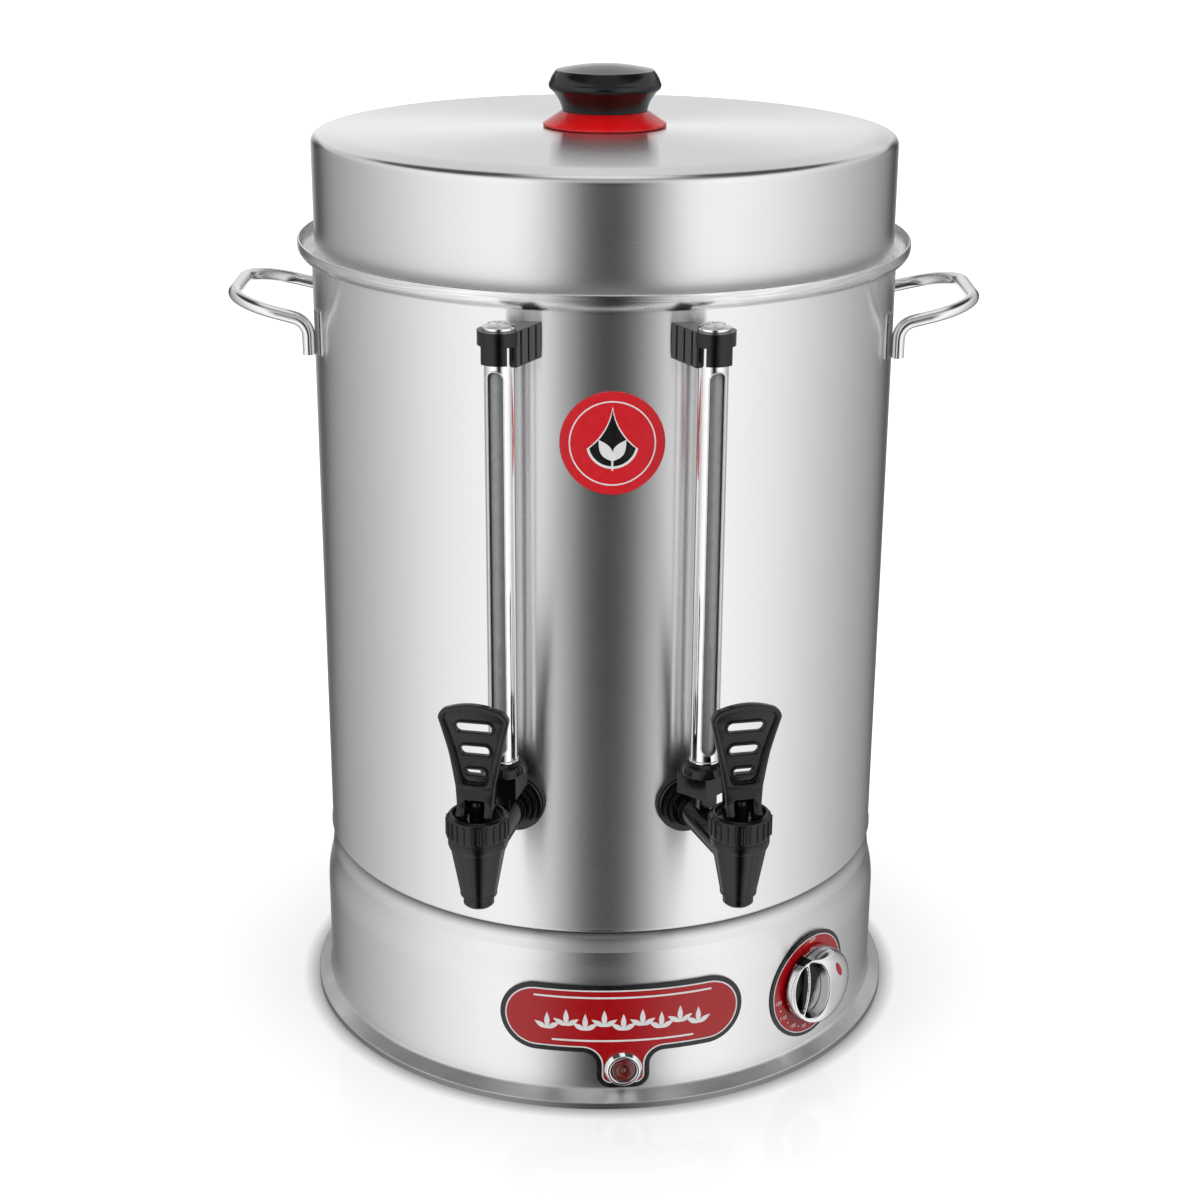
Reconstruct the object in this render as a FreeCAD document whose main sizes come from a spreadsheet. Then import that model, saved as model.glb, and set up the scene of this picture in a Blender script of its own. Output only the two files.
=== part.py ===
import FreeCAD, Part
import Sketcher
import math
import os
from types import SimpleNamespace

from FreeCAD import Placement, Rotation, Vector

# Tea urn of about 20 litres with a brewing pot, two lever taps and two level gauges.
# Lengths are millimetres and angles are degrees.
# Origin: on the floor under the urn's axis. +Z is up, the taps face -Y, +X is the right tap's side.

DRIVING = [
    # overall
    ("body_radius", 160, "outer radius of the tank shell"),
    ("body_height", 335.5, "length of the tank shell"),
    ("base_height", 103, "floor to the lower edge of the tank shell"),
    ("sheet_wall", 1, "thickness of the stainless sheet"),
    ("fit_gap", 0.3, "gap between pieces that lift off each other"),
    # collar
    ("collar_flare", 7.5, "how far the collar's rim stands out from the shell"),
    ("collar_rise", 10, "collar's rim above the shell's top edge"),
    ("ledge_width", 14, "ledge inside the shell that carries pot and lid"),
    # lid
    ("lid_play", 0.6, "radial play of the lid's skirt inside the shell's bore"),
    ("lid_height", 66, "skirt's lower edge to the flat top"),
    ("lid_round", 12, "rounding between skirt and top"),
    ("lid_crown", 0.5, "rise of the lid's top at its middle"),
    ("lid_hole", 3.2, "radius of the hole for the knob's screw"),
    # lid knob
    ("knob_base_radius", 33.5, "widest radius of the red knob base"),
    ("knob_lip", 1.5, "height of the red base's lower lip"),
    ("knob_base_height", 8.2, "height of the red knob base"),
    ("knob_waist", 23, "radius where red base and black cap meet"),
    ("knob_cap_radius", 30.8, "widest radius of the black cap"),
    ("knob_cap_flare", 13, "waist to the cap's widest circle"),
    ("knob_cap_top", 26, "radius of the cap's upper rim"),
    ("knob_cap_height", 21.5, "waist to the cap's upper rim"),
    ("knob_cap_dome", 3, "rise of the cap's dome"),
    ("knob_screw", 3, "radius of the knob's screw"),
    # base housing
    ("base_proud", 3.6, "base wall beyond the shell"),
    ("foot_proud", 11.5, "foot hem beyond the shell"),
    ("shoulder_drop", 13.6, "shell's lower edge to the shoulder's crease"),
    ("shoulder_swell", 23, "height over which the base grows below the crease"),
    ("shoulder_round", 6.5, "rounding of the base's top corner"),
    ("shoulder_gap", 1.6, "air between the shell's lower edge and the base's top flange"),
    ("flange_width", 12, "width of the base's top flange"),
    ("flare_top", 8, "height where the foot's flare starts"),
    ("hem_height", 3.4, "height of the foot's hem"),
    # tank floor and base plate
    ("floor_lift", 16, "tank floor above the shell's lower edge"),
    ("plate_height", 12, "underside of the base plate above the floor"),
    ("plate_play", 3, "gap between base plate and base wall"),
    ("tab_size", 14, "width of the tabs that hold the base plate"),
    ("foot_pad_radius", 11, "radius of a rubber foot"),
    ("foot_ring", 128, "radius of the circle of rubber feet"),
    ("screw_radius", 2, "radius of the small screws"),
    ("screw_head", 3.8, "radius of the small screws' heads"),
    # handles
    ("handle_rod", 3.5, "radius of the handle rod"),
    ("handle_reach", 41.5, "rod's centre line beyond the shell, at the loop's end"),
    ("handle_half", 44, "half the width between the handle's legs"),
    ("handle_splay", 2.5, "how much further out each leg stands on the wall"),
    ("handle_drop", 30.5, "handle's bend on the wall below the shell's top edge"),
    ("handle_rise", 10.5, "rise of the loop from the wall to its end"),
    ("handle_leg", 18, "length of the leg that runs down the wall"),
    ("pad_thick", 1, "thickness of the strips under the handle legs"),
    # taps
    ("tap_azimuth", 16, "angle of each tap from the front"),
    ("tap_rise", 74, "tap's arm above the shell's lower edge"),
    ("tap_reach", 60, "shell to the valve's axis"),
    ("tap_yaw_left", 0.6, "left arm's turn away from the middle"),
    ("tap_yaw_right", 9.5, "right arm's turn away from the middle"),
    ("arm_drop", 7, "fall of the arm's axis from the wall to the valve"),
    ("shank_radius", 8, "radius of the tap's threaded shank"),
    ("shank_length", 24, "shank inside the tank"),
    ("bore_radius", 5, "radius of the waterway"),
    ("gasket_radius", 15.8, "radius of the tap's gaskets"),
    ("gasket_thick", 3, "thickness of the outer gasket at its middle"),
    ("arm_radius", 8.1, "radius of the tap's arm"),
    ("flange_radius", 15.2, "radius of the tap's flange"),
    ("flange_step", 2.4, "thickness of each ring of the flange"),
    ("nut_radius", 15.4, "radius of the ribbed nut under its ribs"),
    ("nut_low", 7.2, "ribbed nut's lower face above the flange's axis"),
    ("nut_high", 12.5, "height of the ribbed nut"),
    ("rib_proud", 0.9, "how far the nut's ribs stand out"),
    ("rib_half", 1.2, "half the width of a rib"),
    ("nut_mouth", 12.7, "radius of the recess in the nut's top"),
    ("nut_recess", 4, "depth of the recess in the nut's top"),
    ("collar_high", 4.2, "height of the valve's collar under the nut"),
    ("collar_radius", 14.9, "radius of the valve's collar"),
    ("spout_top", 14.3, "radius of the spout's cone at its top"),
    ("spout_low", 9.1, "radius of the spout's cone at its bottom"),
    ("spout_length", 25, "flange's axis to the lower end of the cone"),
    ("tip_radius", 7.8, "radius of the spout's tip"),
    ("tip_length", 6.3, "length of the spout's tip"),
    ("outlet_radius", 5.2, "radius of the spout's outlet"),
    ("seat_radius", 9.6, "radius of the valve chamber"),
    ("seat_depth", 12, "valve seat below the flange's axis"),
    ("cup_radius", 7.6, "radius of the silicone seat cup"),
    ("cup_high", 9, "height of the seat cup"),
    ("stem_radius", 3, "radius of the valve stem"),
    ("stem_head", 4.2, "radius of the stem's head"),
    ("pin_above", 5.2, "lever pin above the nut's recess floor"),
    ("pin_radius", 1.5, "radius of the lever pin"),
    ("pin_play", 0.06, "radial play of the lever on its pin"),
    ("fork_gap", 4.8, "half the gap between the lever's prongs"),
    ("fork_half", 9.2, "half the width over the prongs"),
    ("cam_offset", 3.7, "centre of the lever's round heel outward of its pin"),
    ("eye_radius", 3.4, "radius of the lever's eye round its pin"),
    ("paddle_height", 58, "lever pin to the paddle's top"),
    ("paddle_half", 17.8, "half the paddle's greatest width"),
    ("paddle_neck", 9.9, "half the paddle's width at its neck"),
    ("paddle_thick", 4.2, "paddle's thickness"),
    ("paddle_lean", 7, "how far the paddle's top stands outward of its pin"),
    ("paddle_turn_left", 5.6, "left paddle's turn on its arm, to the front"),
    ("paddle_turn_right", 13.5, "right paddle's turn on its arm, to the front"),
    # level gauges
    ("gauge_out", 21, "gauge tube's axis beyond the shell"),
    ("gauge_tube", 5.5, "outer radius of the clear tube"),
    ("gauge_bore", 4, "inner radius of the clear tube"),
    ("shield_radius", 7.5, "outer radius of the slotted shield"),
    ("shield_wall", 0.8, "wall of the slotted shield"),
    ("slot_half", 4.3, "half the width of the shield's slot"),
    ("slot_margin_top", 19, "slot's upper end below the shield's top"),
    ("slot_margin_low", 5, "slot's lower end above the socket's nut"),
    ("socket_half", 9.2, "half the width of the gauge socket's block"),
    ("socket_back", 2, "socket's block behind the tube's axis"),
    ("socket_turn_right", 25.6, "turn of the right socket's block on its arm"),
    ("stub_half", 5, "half the width of the stub under the block"),
    ("socket_low", 13.3, "block's underside above the flange's axis"),
    ("socket_high", 12, "height of the gauge socket's block"),
    ("dome_high", 6.5, "height of the socket's domed nut"),
    ("dome_radius", 11.6, "radius of the socket's domed nut"),
    ("bracket_drop", 5.4, "bracket's top below the shell's top edge"),
    ("bracket_ring", 10.7, "outer radius of the bracket's ring"),
    ("bracket_ring_high", 7, "height of the bracket's ring"),
    ("bracket_sleeve_high", 16, "height of the bracket's sleeve behind the shield"),
    ("bracket_block_high", 17.5, "height of the bracket's wall block"),
    ("bracket_block_off", 4, "block's nearer face beside the tube's axis"),
    ("bracket_block_wide", 5.8, "width of the wall block at its front"),
    ("bracket_block_grow", 4.7, "how much wider the wall block is at the wall"),
    ("cap_radius", 8.1, "radius of the gauge's top cap"),
    ("cap_high", 3.4, "height of the gauge's top cap"),
    # labels
    ("label_thick", 0.5, "thickness of the labels"),
    ("badge_radius", 26.3, "radius of the round label on the shell"),
    ("badge_below", 65.5, "round label's centre below the shell's top edge"),
    ("badge_azimuth", 1.7, "angle of the round label from the front"),
    ("plate_azimuth", 4.6, "angle of the name plate from the front"),
    ("plate_half", 68, "half the length of the name plate"),
    ("plate_low", 31, "lower edge of the plate's band above the floor"),
    ("plate_band", 41, "height of the plate's band"),
    ("tab_half", 14.5, "half the width of the plate's lower tab"),
    ("tab_low", 9, "bottom of the plate's tab above the floor"),
    ("tab_round", 8, "corner radius at the bottom of the tab"),
    # thermostat
    ("dial_azimuth", 46.3, "angle of the dial from the front"),
    ("dial_height", 45.9, "dial's centre above the floor"),
    ("dial_radius", 31.8, "radius of the dial plate"),
    ("control_skirt", 22.4, "radius of the control knob at the dial"),
    ("control_lift", 3.5, "how far the knob's middle stands above its shaft"),
    ("control_edge", 2.6, "height of the knob's skirt"),
    ("control_high", 14.7, "height of the control knob"),
    ("control_face", 19.2, "half the length of the knob's slanting face"),
    ("control_blade", 0.9, "half the width of the ridge on the knob's face"),
    ("control_scoop", 4, "depth of the scoops beside the ridge"),
    ("shaft_radius", 3, "radius of the thermostat's shaft"),
    ("bush_radius", 5, "radius of the thermostat's threaded bush"),
    ("thermostat_radius", 19, "radius of the thermostat's body"),
    ("thermostat_depth", 24, "depth of the thermostat's body"),
    # lamp
    ("lamp_height", 21.2, "lamp's centre above the floor"),
    ("lamp_radius", 10.4, "radius of the lamp's bezel"),
    ("lamp_body_radius", 6.5, "radius of the lamp's body"),
    # cable inlet
    ("gland_height", 34, "cable gland's centre above the floor"),
    ("gland_radius", 9, "radius of the gland's thread"),
    ("gland_bore", 4.2, "radius of the gland's bore"),
    # brewing pot and filter
    ("pot_play", 1.5, "gap between the pot and the ledge's bore"),
    ("pot_depth", 120, "depth of the brewing pot"),
    ("pot_wall", 0.8, "wall of pot and filter"),
    ("filter_play", 5, "gap between filter and pot"),
    ("filter_depth", 62, "depth of the filter"),
    ("spigot_ring", 104, "distance of the pot's spigot from the axis"),
    ("spigot_radius", 7.6, "radius of the pot's spigot"),
    ("spigot_length", 22, "length of the pot's spigot"),
    ("pipe_wall", 2, "wall of the silicone tea pipe"),
    ("pipe_play", 0.5, "gap between the pot's spigot and the pipe"),
    ("pipe_overlap", 8, "length of the joint between pipe and spigot"),
    # heating element
    ("heater_rod", 4, "radius of the heating rod"),
    ("heater_lift", 18, "heating rod above the tank floor"),
    ("heater_half", 78, "half the width of the heating loop"),
    ("heater_leg", 22, "half the distance between the heater's legs"),
    ("heater_back", 92, "distance of the heater's legs behind the axis"),
    # wiring
    ("wire_radius", 1.3, "radius of the inner wires"),
]

FULL_TURN = 360
LEFT, RIGHT = "left", "right"

# Details of single pieces that no other size depends on

BACK_AZIMUTH = 180
DIAGONAL = math.sqrt(0.5)
FEET = 4
TIE_AZIMUTHS = [25, 115, 205, 295]
HOLE_REACH = 8
COLLAR_CURVE = 6.5
COLLAR_INNER = 5.5
COLLAR_KNEE = 3.7
COLLAR_UPRIGHT = 4
COLLAR_EDGE = 0.5
COLLAR_HEEL = 0.9
SWELL_CURVE = 75
HANDLE_BENDS = [10, 28, 28, 10]
PAD_HIGH = 24
PAD_WIDE = 9
SLEEVE_BACK = 3
CAP_HOLLOW = 20
CAP_ROUND = 9.5
KNOB_SCREW_HEAD = 3
PIPE_BEND_SHARE = 0.6
TIP_ROUND = 1.2
FLANGE_RINGS = 3
NUT_ROUND = 1.2
NUT_RIBS = 24
PADDLE_FLARE = 400
PADDLE_CORNER = 6.5
PADDLE_TOP = 34
PADDLE_LEVELS = [0.24, 0.88, 0.985]
PADDLE_CROWN = 0.72
PADDLE_SLOTS = [(11.8, 9.2, 2.7), (24.6, 7.4, 2.6), (36.3, 5, 1.6)]
PADDLE_WINDOW = 0.155
DOME_ROUND = 6
SOCKET_FLOOR = 3
THERMOSTAT_STANDOFF = 6
BULB_RADIUS = 3
BULB_RUN = 26
BULB_LENGTH = 50
CAPILLARY_RADIUS = 1.2
KNOB_POINTS = 24
KNOB_FACE_LEFT = 0.902
KNOB_FACE_RIGHT = 0.067
KNOB_FACE_LOW = 1.5
KNOB_SHOULDER_LEFT = 0.947
KNOB_SHOULDER_RIGHT = 0.87
KNOB_SHOULDER_LOW = 1.24
KNOB_SHOULDER_HIGH = 0.85
KNOB_RIDGE = 0.56
SCOOP_TOP = 0.9
SCOOP_LOW = 0.62
LAMP_DEPTH = 24
GLAND_INSIDE = 14
GLAND_FLANGE = 5
GLAND_OUTSIDE = 18
GLAND_ROUND = 8
GLAND_SHANK_LONG = 12
HEATER_TAIL = 14
HEATER_BENDS = [14, 26, 40, 40, 26, 14]
TERMINAL_LONG = 44
TERMINAL_DEEP = 18
TERMINAL_HIGH = 20
TERMINAL_BACK = 46
WIRE_LOW = 6
WIRE_RUN = 22
HEATER_WIRE_RISE = 22
LAMP_WIRE_RISE = 12
LAMP_WIRE_SIDE = 14
OUTER_TERMINAL = 17


class Size:
    """A driving size, or a formula made of driving sizes, as a number and as sheet text."""

    def __init__(self, number, text):
        self.number = float(number)
        self.text = text

    def join(self, other, sign, number):
        text = other.text if isinstance(other, Size) else repr(float(other))
        return Size(number, "(%s %s %s)" % (self.text, sign, text))

    def __add__(self, other):
        return self.join(other, "+", self.number + plain(other))

    def __sub__(self, other):
        return self.join(other, "-", self.number - plain(other))

    def __mul__(self, other):
        return self.join(other, "*", self.number * plain(other))

    def __truediv__(self, other):
        return self.join(other, "/", self.number / plain(other))

    def __radd__(self, other):
        return self + other

    def __neg__(self):
        return Size(-self.number, "(0 - %s)" % self.text)


def plain(value):
    """The number of a size, or the number itself."""
    return value.number if isinstance(value, Size) else float(value)


def root(size):
    """The square root of a size."""
    return Size(math.sqrt(size.number), "sqrt(%s)" % size.text)


def dome_radius(half, rise):
    """Radius of an arc that rises from an edge to a middle on the axis."""
    return (half * half + rise * rise) / (rise * 2)


def read_sizes(doc):
    """Fill the sheet with the driving sizes and hand them back by name."""
    sheet = doc.addObject("Spreadsheet::Sheet", "sizes")
    sizes = {}
    for row, (alias, value, meaning) in enumerate(DRIVING, 1):
        sheet.set("A%d" % row, meaning)
        sheet.set("B%d" % row, str(value))
        sheet.setAlias("B%d" % row, alias)
        sizes[alias] = Size(value, "sizes." + alias)
    doc.recompute()
    return SimpleNamespace(**sizes)


doc = FreeCAD.newDocument("tea_urn")
s = read_sizes(doc)
nodes = {}


# Helpers that make document objects

def node(thing, label):
    """Keep an object as a finished piece under its own name."""
    thing.Label = label
    nodes[label] = thing
    return thing


def bind(thing, **sizes):
    """Drive properties of an object by sizes."""
    for name, size in sizes.items():
        if isinstance(size, Size):
            thing.setExpression(name, size.text)
        else:
            setattr(thing, name, size)


def new_body(name):
    return doc.addObject("PartDesign::Body", name + "_body")


def new_sketch(body, role, lift=None):
    """A sketch on one of the body's origin planes, lifted off it if asked."""
    sketch = body.newObject("Sketcher::SketchObject", body.Name + "_sketch")
    plane = [item for item in body.Origin.OriginFeatures if item.Role == role][0]
    sketch.AttachmentSupport = [(plane, "")]
    sketch.MapMode = "FlatFace"
    if lift is not None:
        sketch.setExpression("AttachmentOffset.Base.z", lift.text)
    return sketch


def hold(sketch, shape, end, x, y):
    """Hold one end of a sketch element at a place."""
    for kind, value in (("DistanceX", x), ("DistanceY", y)):
        index = sketch.addConstraint(Sketcher.Constraint(kind, -1, 1, shape, end, plain(value)))
        if isinstance(value, Size):
            sketch.setExpression("Constraints[%d]" % index, value.text)


def hold_middle(sketch, shape, first, last):
    """Hold a half circle's centre in the middle of its two ends."""
    flat = abs(plain(last[0]) - plain(first[0])) > abs(plain(last[1]) - plain(first[1]))
    kind, way = ("DistanceY", 1) if flat else ("DistanceX", 0)
    middle = (last[way] + first[way]) / 2
    index = sketch.addConstraint(Sketcher.Constraint(kind, -1, 1, shape, 3, plain(middle)))
    if isinstance(middle, Size):
        sketch.setExpression("Constraints[%d]" % index, middle.text)


def hold_radius(sketch, shape, radius):
    index = sketch.addConstraint(Sketcher.Constraint("Radius", shape, plain(radius)))
    if isinstance(radius, Size):
        sketch.setExpression("Constraints[%d]" % index, radius.text)


def arc_between(first, last, radius, side):
    """An arc from one place to the next, its centre left (1) or right (-1) of the way."""
    chord = last - first
    reach = math.sqrt(max(radius ** 2 - (chord.Length / 2) ** 2, 0))
    middle = (first + last) * 0.5
    left = Vector(-chord.y, chord.x, 0).normalize()
    centre = middle + left * (reach * side)
    start, stop = (first, last) if side > 0 else (last, first)
    angles = [math.atan2(p.y - centre.y, p.x - centre.x) for p in (start, stop)]
    return Part.ArcOfCircle(Part.Circle(centre, Vector(0, 0, 1), radius), *angles)


def outline(sketch, path):
    """A closed outline. Each entry is (x, y), or (x, y, radius, side) where an arc starts."""
    places = [Vector(plain(entry[0]), plain(entry[1]), 0) for entry in path]
    ends = []
    for index, entry in enumerate(path):
        first, last = places[index], places[(index + 1) % len(path)]
        if len(entry) == 4:
            shape = sketch.addGeometry(arc_between(first, last, plain(entry[2]), entry[3]), False)
            ends.append((shape, 1, 2) if entry[3] > 0 else (shape, 2, 1))
            if abs((last - first).Length - 2 * plain(entry[2])) < 1e-6:
                hold_middle(sketch, shape, entry, path[(index + 1) % len(path)])
            else:
                hold_radius(sketch, shape, entry[2])
        else:
            shape = sketch.addGeometry(Part.LineSegment(first, last), False)
            ends.append((shape, 1, 2))
    for index, (shape, begin, end) in enumerate(ends):
        after = ends[(index + 1) % len(ends)]
        sketch.addConstraint(Sketcher.Constraint("Coincident", shape, end, after[0], after[1]))
        hold(sketch, shape, begin, path[index][0], path[index][1])


def circle(sketch, x, y, radius):
    centre = Vector(plain(x), plain(y), 0)
    shape = sketch.addGeometry(Part.Circle(centre, Vector(0, 0, 1), plain(radius)), False)
    hold(sketch, shape, 3, x, y)
    hold_radius(sketch, shape, radius)


def oblong(sketch, x, y, half_wide, half_high):
    """A slot with round ends, longer in x than in y."""
    straight = half_wide - half_high
    outline(sketch, [
        (x - straight, y - half_high), (x + straight, y - half_high, half_high, 1),
        (x + straight, y + half_high), (x - straight, y + half_high, half_high, 1)])


def add_turned(body, path):
    """A solid of revolution about Z from a closed outline of (radius, height)."""
    sketch = new_sketch(body, "XZ_Plane")
    outline(sketch, path)
    turned = body.newObject("PartDesign::Revolution", body.Name + "_turned")
    turned.Profile = sketch
    turned.ReferenceAxis = (sketch, ["V_Axis"])
    turned.Angle = FULL_TURN
    return turned


def turned(name, path):
    """A body that is one solid of revolution about Z."""
    body = new_body(name)
    add_turned(body, path)
    doc.recompute()
    return body


def pad(body, role, draw, length, lift=None, reverse=False):
    """Pad a sketch, which draw fills, off an origin plane."""
    sketch = new_sketch(body, role, lift)
    draw(sketch)
    feature = body.newObject("PartDesign::Pad", body.Name + "_pad")
    feature.Profile = sketch
    bind(feature, Length=length)
    feature.Reversed = reverse
    return feature


def pocket(body, role, draw, depth, lift=None, reverse=False):
    """Cut a sketch, which draw fills, out of a body and check that it cuts."""
    doc.recompute()
    before = body.Shape.Volume
    sketch = new_sketch(body, role, lift)
    draw(sketch)
    feature = body.newObject("PartDesign::Pocket", body.Name + "_pocket")
    feature.Profile = sketch
    bind(feature, Length=depth)
    feature.Reversed = reverse
    doc.recompute()
    if body.Shape.Volume >= before:
        raise RuntimeError("pocket cuts nothing in " + body.Name)
    return feature


def around(body, feature, count, name="Z_Axis"):
    """Repeat a feature evenly about one of the body's axes."""
    pattern = body.newObject("PartDesign::PolarPattern", body.Name + "_pattern")
    pattern.Originals = [feature]
    axis = [item for item in body.Origin.OriginFeatures if item.Role == name][0]
    pattern.Axis = (axis, [""])
    pattern.Angle = FULL_TURN
    pattern.Occurrences = count
    body.Tip = pattern
    doc.recompute()
    return pattern


def cylinder(name, radius, length, place=None):
    thing = doc.addObject("Part::Cylinder", name)
    bind(thing, Radius=radius, Height=length)
    thing.Placement = place or Placement()
    return thing


def box(name, x, y, z, place):
    thing = doc.addObject("Part::Box", name)
    bind(thing, Length=x, Width=y, Height=z)
    thing.Placement = place
    return thing


def cut(name, base, *tools):
    """Base less the tools."""
    for index, tool in enumerate(tools):
        thing = doc.addObject("Part::Cut", "%s_cut%d" % (name, index))
        thing.Base = base
        thing.Tool = tool
        base = thing
    return base


def fuse(name, *parts):
    thing = doc.addObject("Part::MultiFuse", name + "_fuse")
    thing.Shapes = list(parts)
    return thing


def common(name, *parts):
    thing = doc.addObject("Part::MultiCommon", name + "_common")
    thing.Shapes = list(parts)
    return thing


def shaped(name, shape, place=None):
    """A piece whose shape is made in code, for bent rods and groups of equal pieces."""
    thing = doc.addObject("Part::Feature", name)
    thing.Shape = shape
    thing.Placement = place or Placement()
    return thing


def group(name, *sets):
    """Solids in one piece, from pairs of a source and the placements of its copies."""
    doc.recompute()
    solids = []
    for source, places in sets:
        for spot in places:
            copy = source.Shape.copy()
            copy.Placement = spot.multiply(copy.Placement)
            solids.append(copy)
    return shaped(name, Part.makeCompound(solids))


def place(x=0, y=0, z=0, turn=None):
    return Placement(Vector(plain(x), plain(y), plain(z)), turn or Rotation())


def spin(degrees):
    """A turn about the urn's axis. A positive angle goes from the front towards +X."""
    return Rotation(Vector(0, 0, 1), plain(degrees))


TO_FRONT = Rotation(Vector(1, 0, 0), 90)
TO_BACK = Rotation(Vector(1, 0, 0), -90)


def radial(azimuth, distance, height):
    """A frame on the urn's wall: -Y points outward, +Z up."""
    turn = spin(azimuth)
    return Placement(turn.multVec(Vector(0, -plain(distance), 0)) + Vector(0, 0, plain(height)), turn)


def bent(points, radii):
    """A wire of straight runs with an arc at each inner point."""
    points = [Vector(*point) for point in points]
    edges = []
    start = points[0]
    for index in range(1, len(points) - 1):
        corner = points[index]
        back = (points[index - 1] - corner).normalize()
        ahead = (points[index + 1] - corner).normalize()
        half = back.getAngle(ahead) / 2
        trim = radii[index - 1] / math.tan(half)
        first, last = corner + back * trim, corner + ahead * trim
        inward = (back + ahead).normalize()
        centre = corner + inward * (radii[index - 1] / math.sin(half))
        middle = centre - inward * radii[index - 1]
        if (first - start).Length > 1e-6:
            edges.append(Part.LineSegment(start, first).toShape())
        edges.append(Part.Arc(first, middle, last).toShape())
        start = last
    edges.append(Part.LineSegment(start, points[-1]).toShape())
    return Part.Wire(edges)


def rod(points, radii, radius, bore=0):
    """A round rod, or a tube, along a bent wire."""
    spine = bent(points, radii)
    first = spine.OrderedEdges[0]
    direction = first.tangentAt(first.FirstParameter)
    solids = []
    for size in (radius, bore):
        if size > 0:
            section = Part.Wire(Part.makeCircle(size, spine.OrderedVertexes[0].Point, direction))
            solids.append(spine.makePipeShell([section], True, False))
    return solids[0].cut(solids[1]) if len(solids) == 2 else solids[0]


# Heights and radii that several pieces share

shell_low = s.base_height
shell_top = s.base_height + s.body_height
shell_bore = s.body_radius - s.sheet_wall
tank_floor_top = shell_low + s.floor_lift
ledge_top = shell_top + s.sheet_wall
ledge_bore = s.body_radius - s.ledge_width
lid_radius = shell_bore - s.lid_play
lid_low = ledge_top + s.fit_gap
lid_top = lid_low + s.lid_height
crease_height = shell_low - s.shoulder_drop
base_radius = s.body_radius + s.base_proud
base_bore = base_radius - s.sheet_wall
foot_radius = s.body_radius + s.foot_proud
base_top = shell_low - s.shoulder_gap
tap_height = shell_low + s.tap_rise
plate_top = s.plate_height + s.sheet_wall
nut_floor = s.nut_low + s.nut_high - s.nut_recess
pot_low = ledge_top + s.fit_gap
pot_radius = ledge_bore - s.pot_play
pot_bottom = pot_low - s.pot_depth
pipe_bore = s.spigot_radius + s.pipe_play
shield_low = tap_height + s.socket_low + s.socket_high + s.dome_high
cap_low = shell_top - s.bracket_drop
control_seat = s.label_thick + s.fit_gap * 4
control_socket = s.control_high * 0.5
gland_shank = s.heater_rod + s.screw_radius


# Tank, collar and base

def tank_shell():
    body = turned("tank_shell", [
        (shell_bore, shell_low), (s.body_radius, shell_low),
        (s.body_radius, shell_top), (shell_bore, shell_top)])
    holes = []
    for side in (LEFT, RIGHT):
        spot = radial(tap_turn(side), s.body_radius, tap_height)
        hole = cylinder("shank_hole_" + side, s.shank_radius + s.fit_gap, s.shank_length,
                        spot.multiply(place(y=-plain(s.shank_length) / 2, turn=TO_BACK)))
        holes.append(hole)
    node(cut("tank_shell", body, *holes), "tank_shell")


def tank_floor():
    skirt = shell_bore - s.fit_gap
    inner = skirt - s.sheet_wall
    foot_inner = skirt - s.flange_width
    body = turned("tank_floor", [
        (0, tank_floor_top - s.sheet_wall), (inner, tank_floor_top - s.sheet_wall),
        (inner, base_top + s.sheet_wall), (foot_inner, base_top + s.sheet_wall),
        (foot_inner, base_top), (skirt, base_top), (skirt, tank_floor_top), (0, tank_floor_top)])
    low = tank_floor_top - s.sheet_wall * 2
    for x in (-s.heater_leg, s.heater_leg):
        pocket(body, "XY_Plane", lambda sk: circle(sk, x, s.heater_back, gland_shank + s.fit_gap),
               s.sheet_wall * 3, lift=low, reverse=True)
    node(body, "tank_floor")


def collar_ring():
    """A flat ledge on the shell's edge that turns up into a rolled rim."""
    rim = shell_top + s.collar_rise
    lip = s.body_radius + s.collar_flare
    body = turned("collar_ring", [
        (ledge_bore, shell_top), (s.body_radius, shell_top),
        (s.body_radius + COLLAR_KNEE, ledge_top, COLLAR_CURVE, 1), (lip, rim - COLLAR_UPRIGHT),
        (lip, rim - COLLAR_EDGE), (lip - COLLAR_EDGE, rim), (lip - s.sheet_wall, rim),
        (lip - s.sheet_wall, rim - COLLAR_UPRIGHT, COLLAR_INNER, -1),
        (s.body_radius + COLLAR_KNEE - s.sheet_wall, ledge_top + COLLAR_HEEL),
        (s.body_radius + COLLAR_HEEL, ledge_top), (ledge_bore, ledge_top)])
    node(body, "collar_ring")


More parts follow.
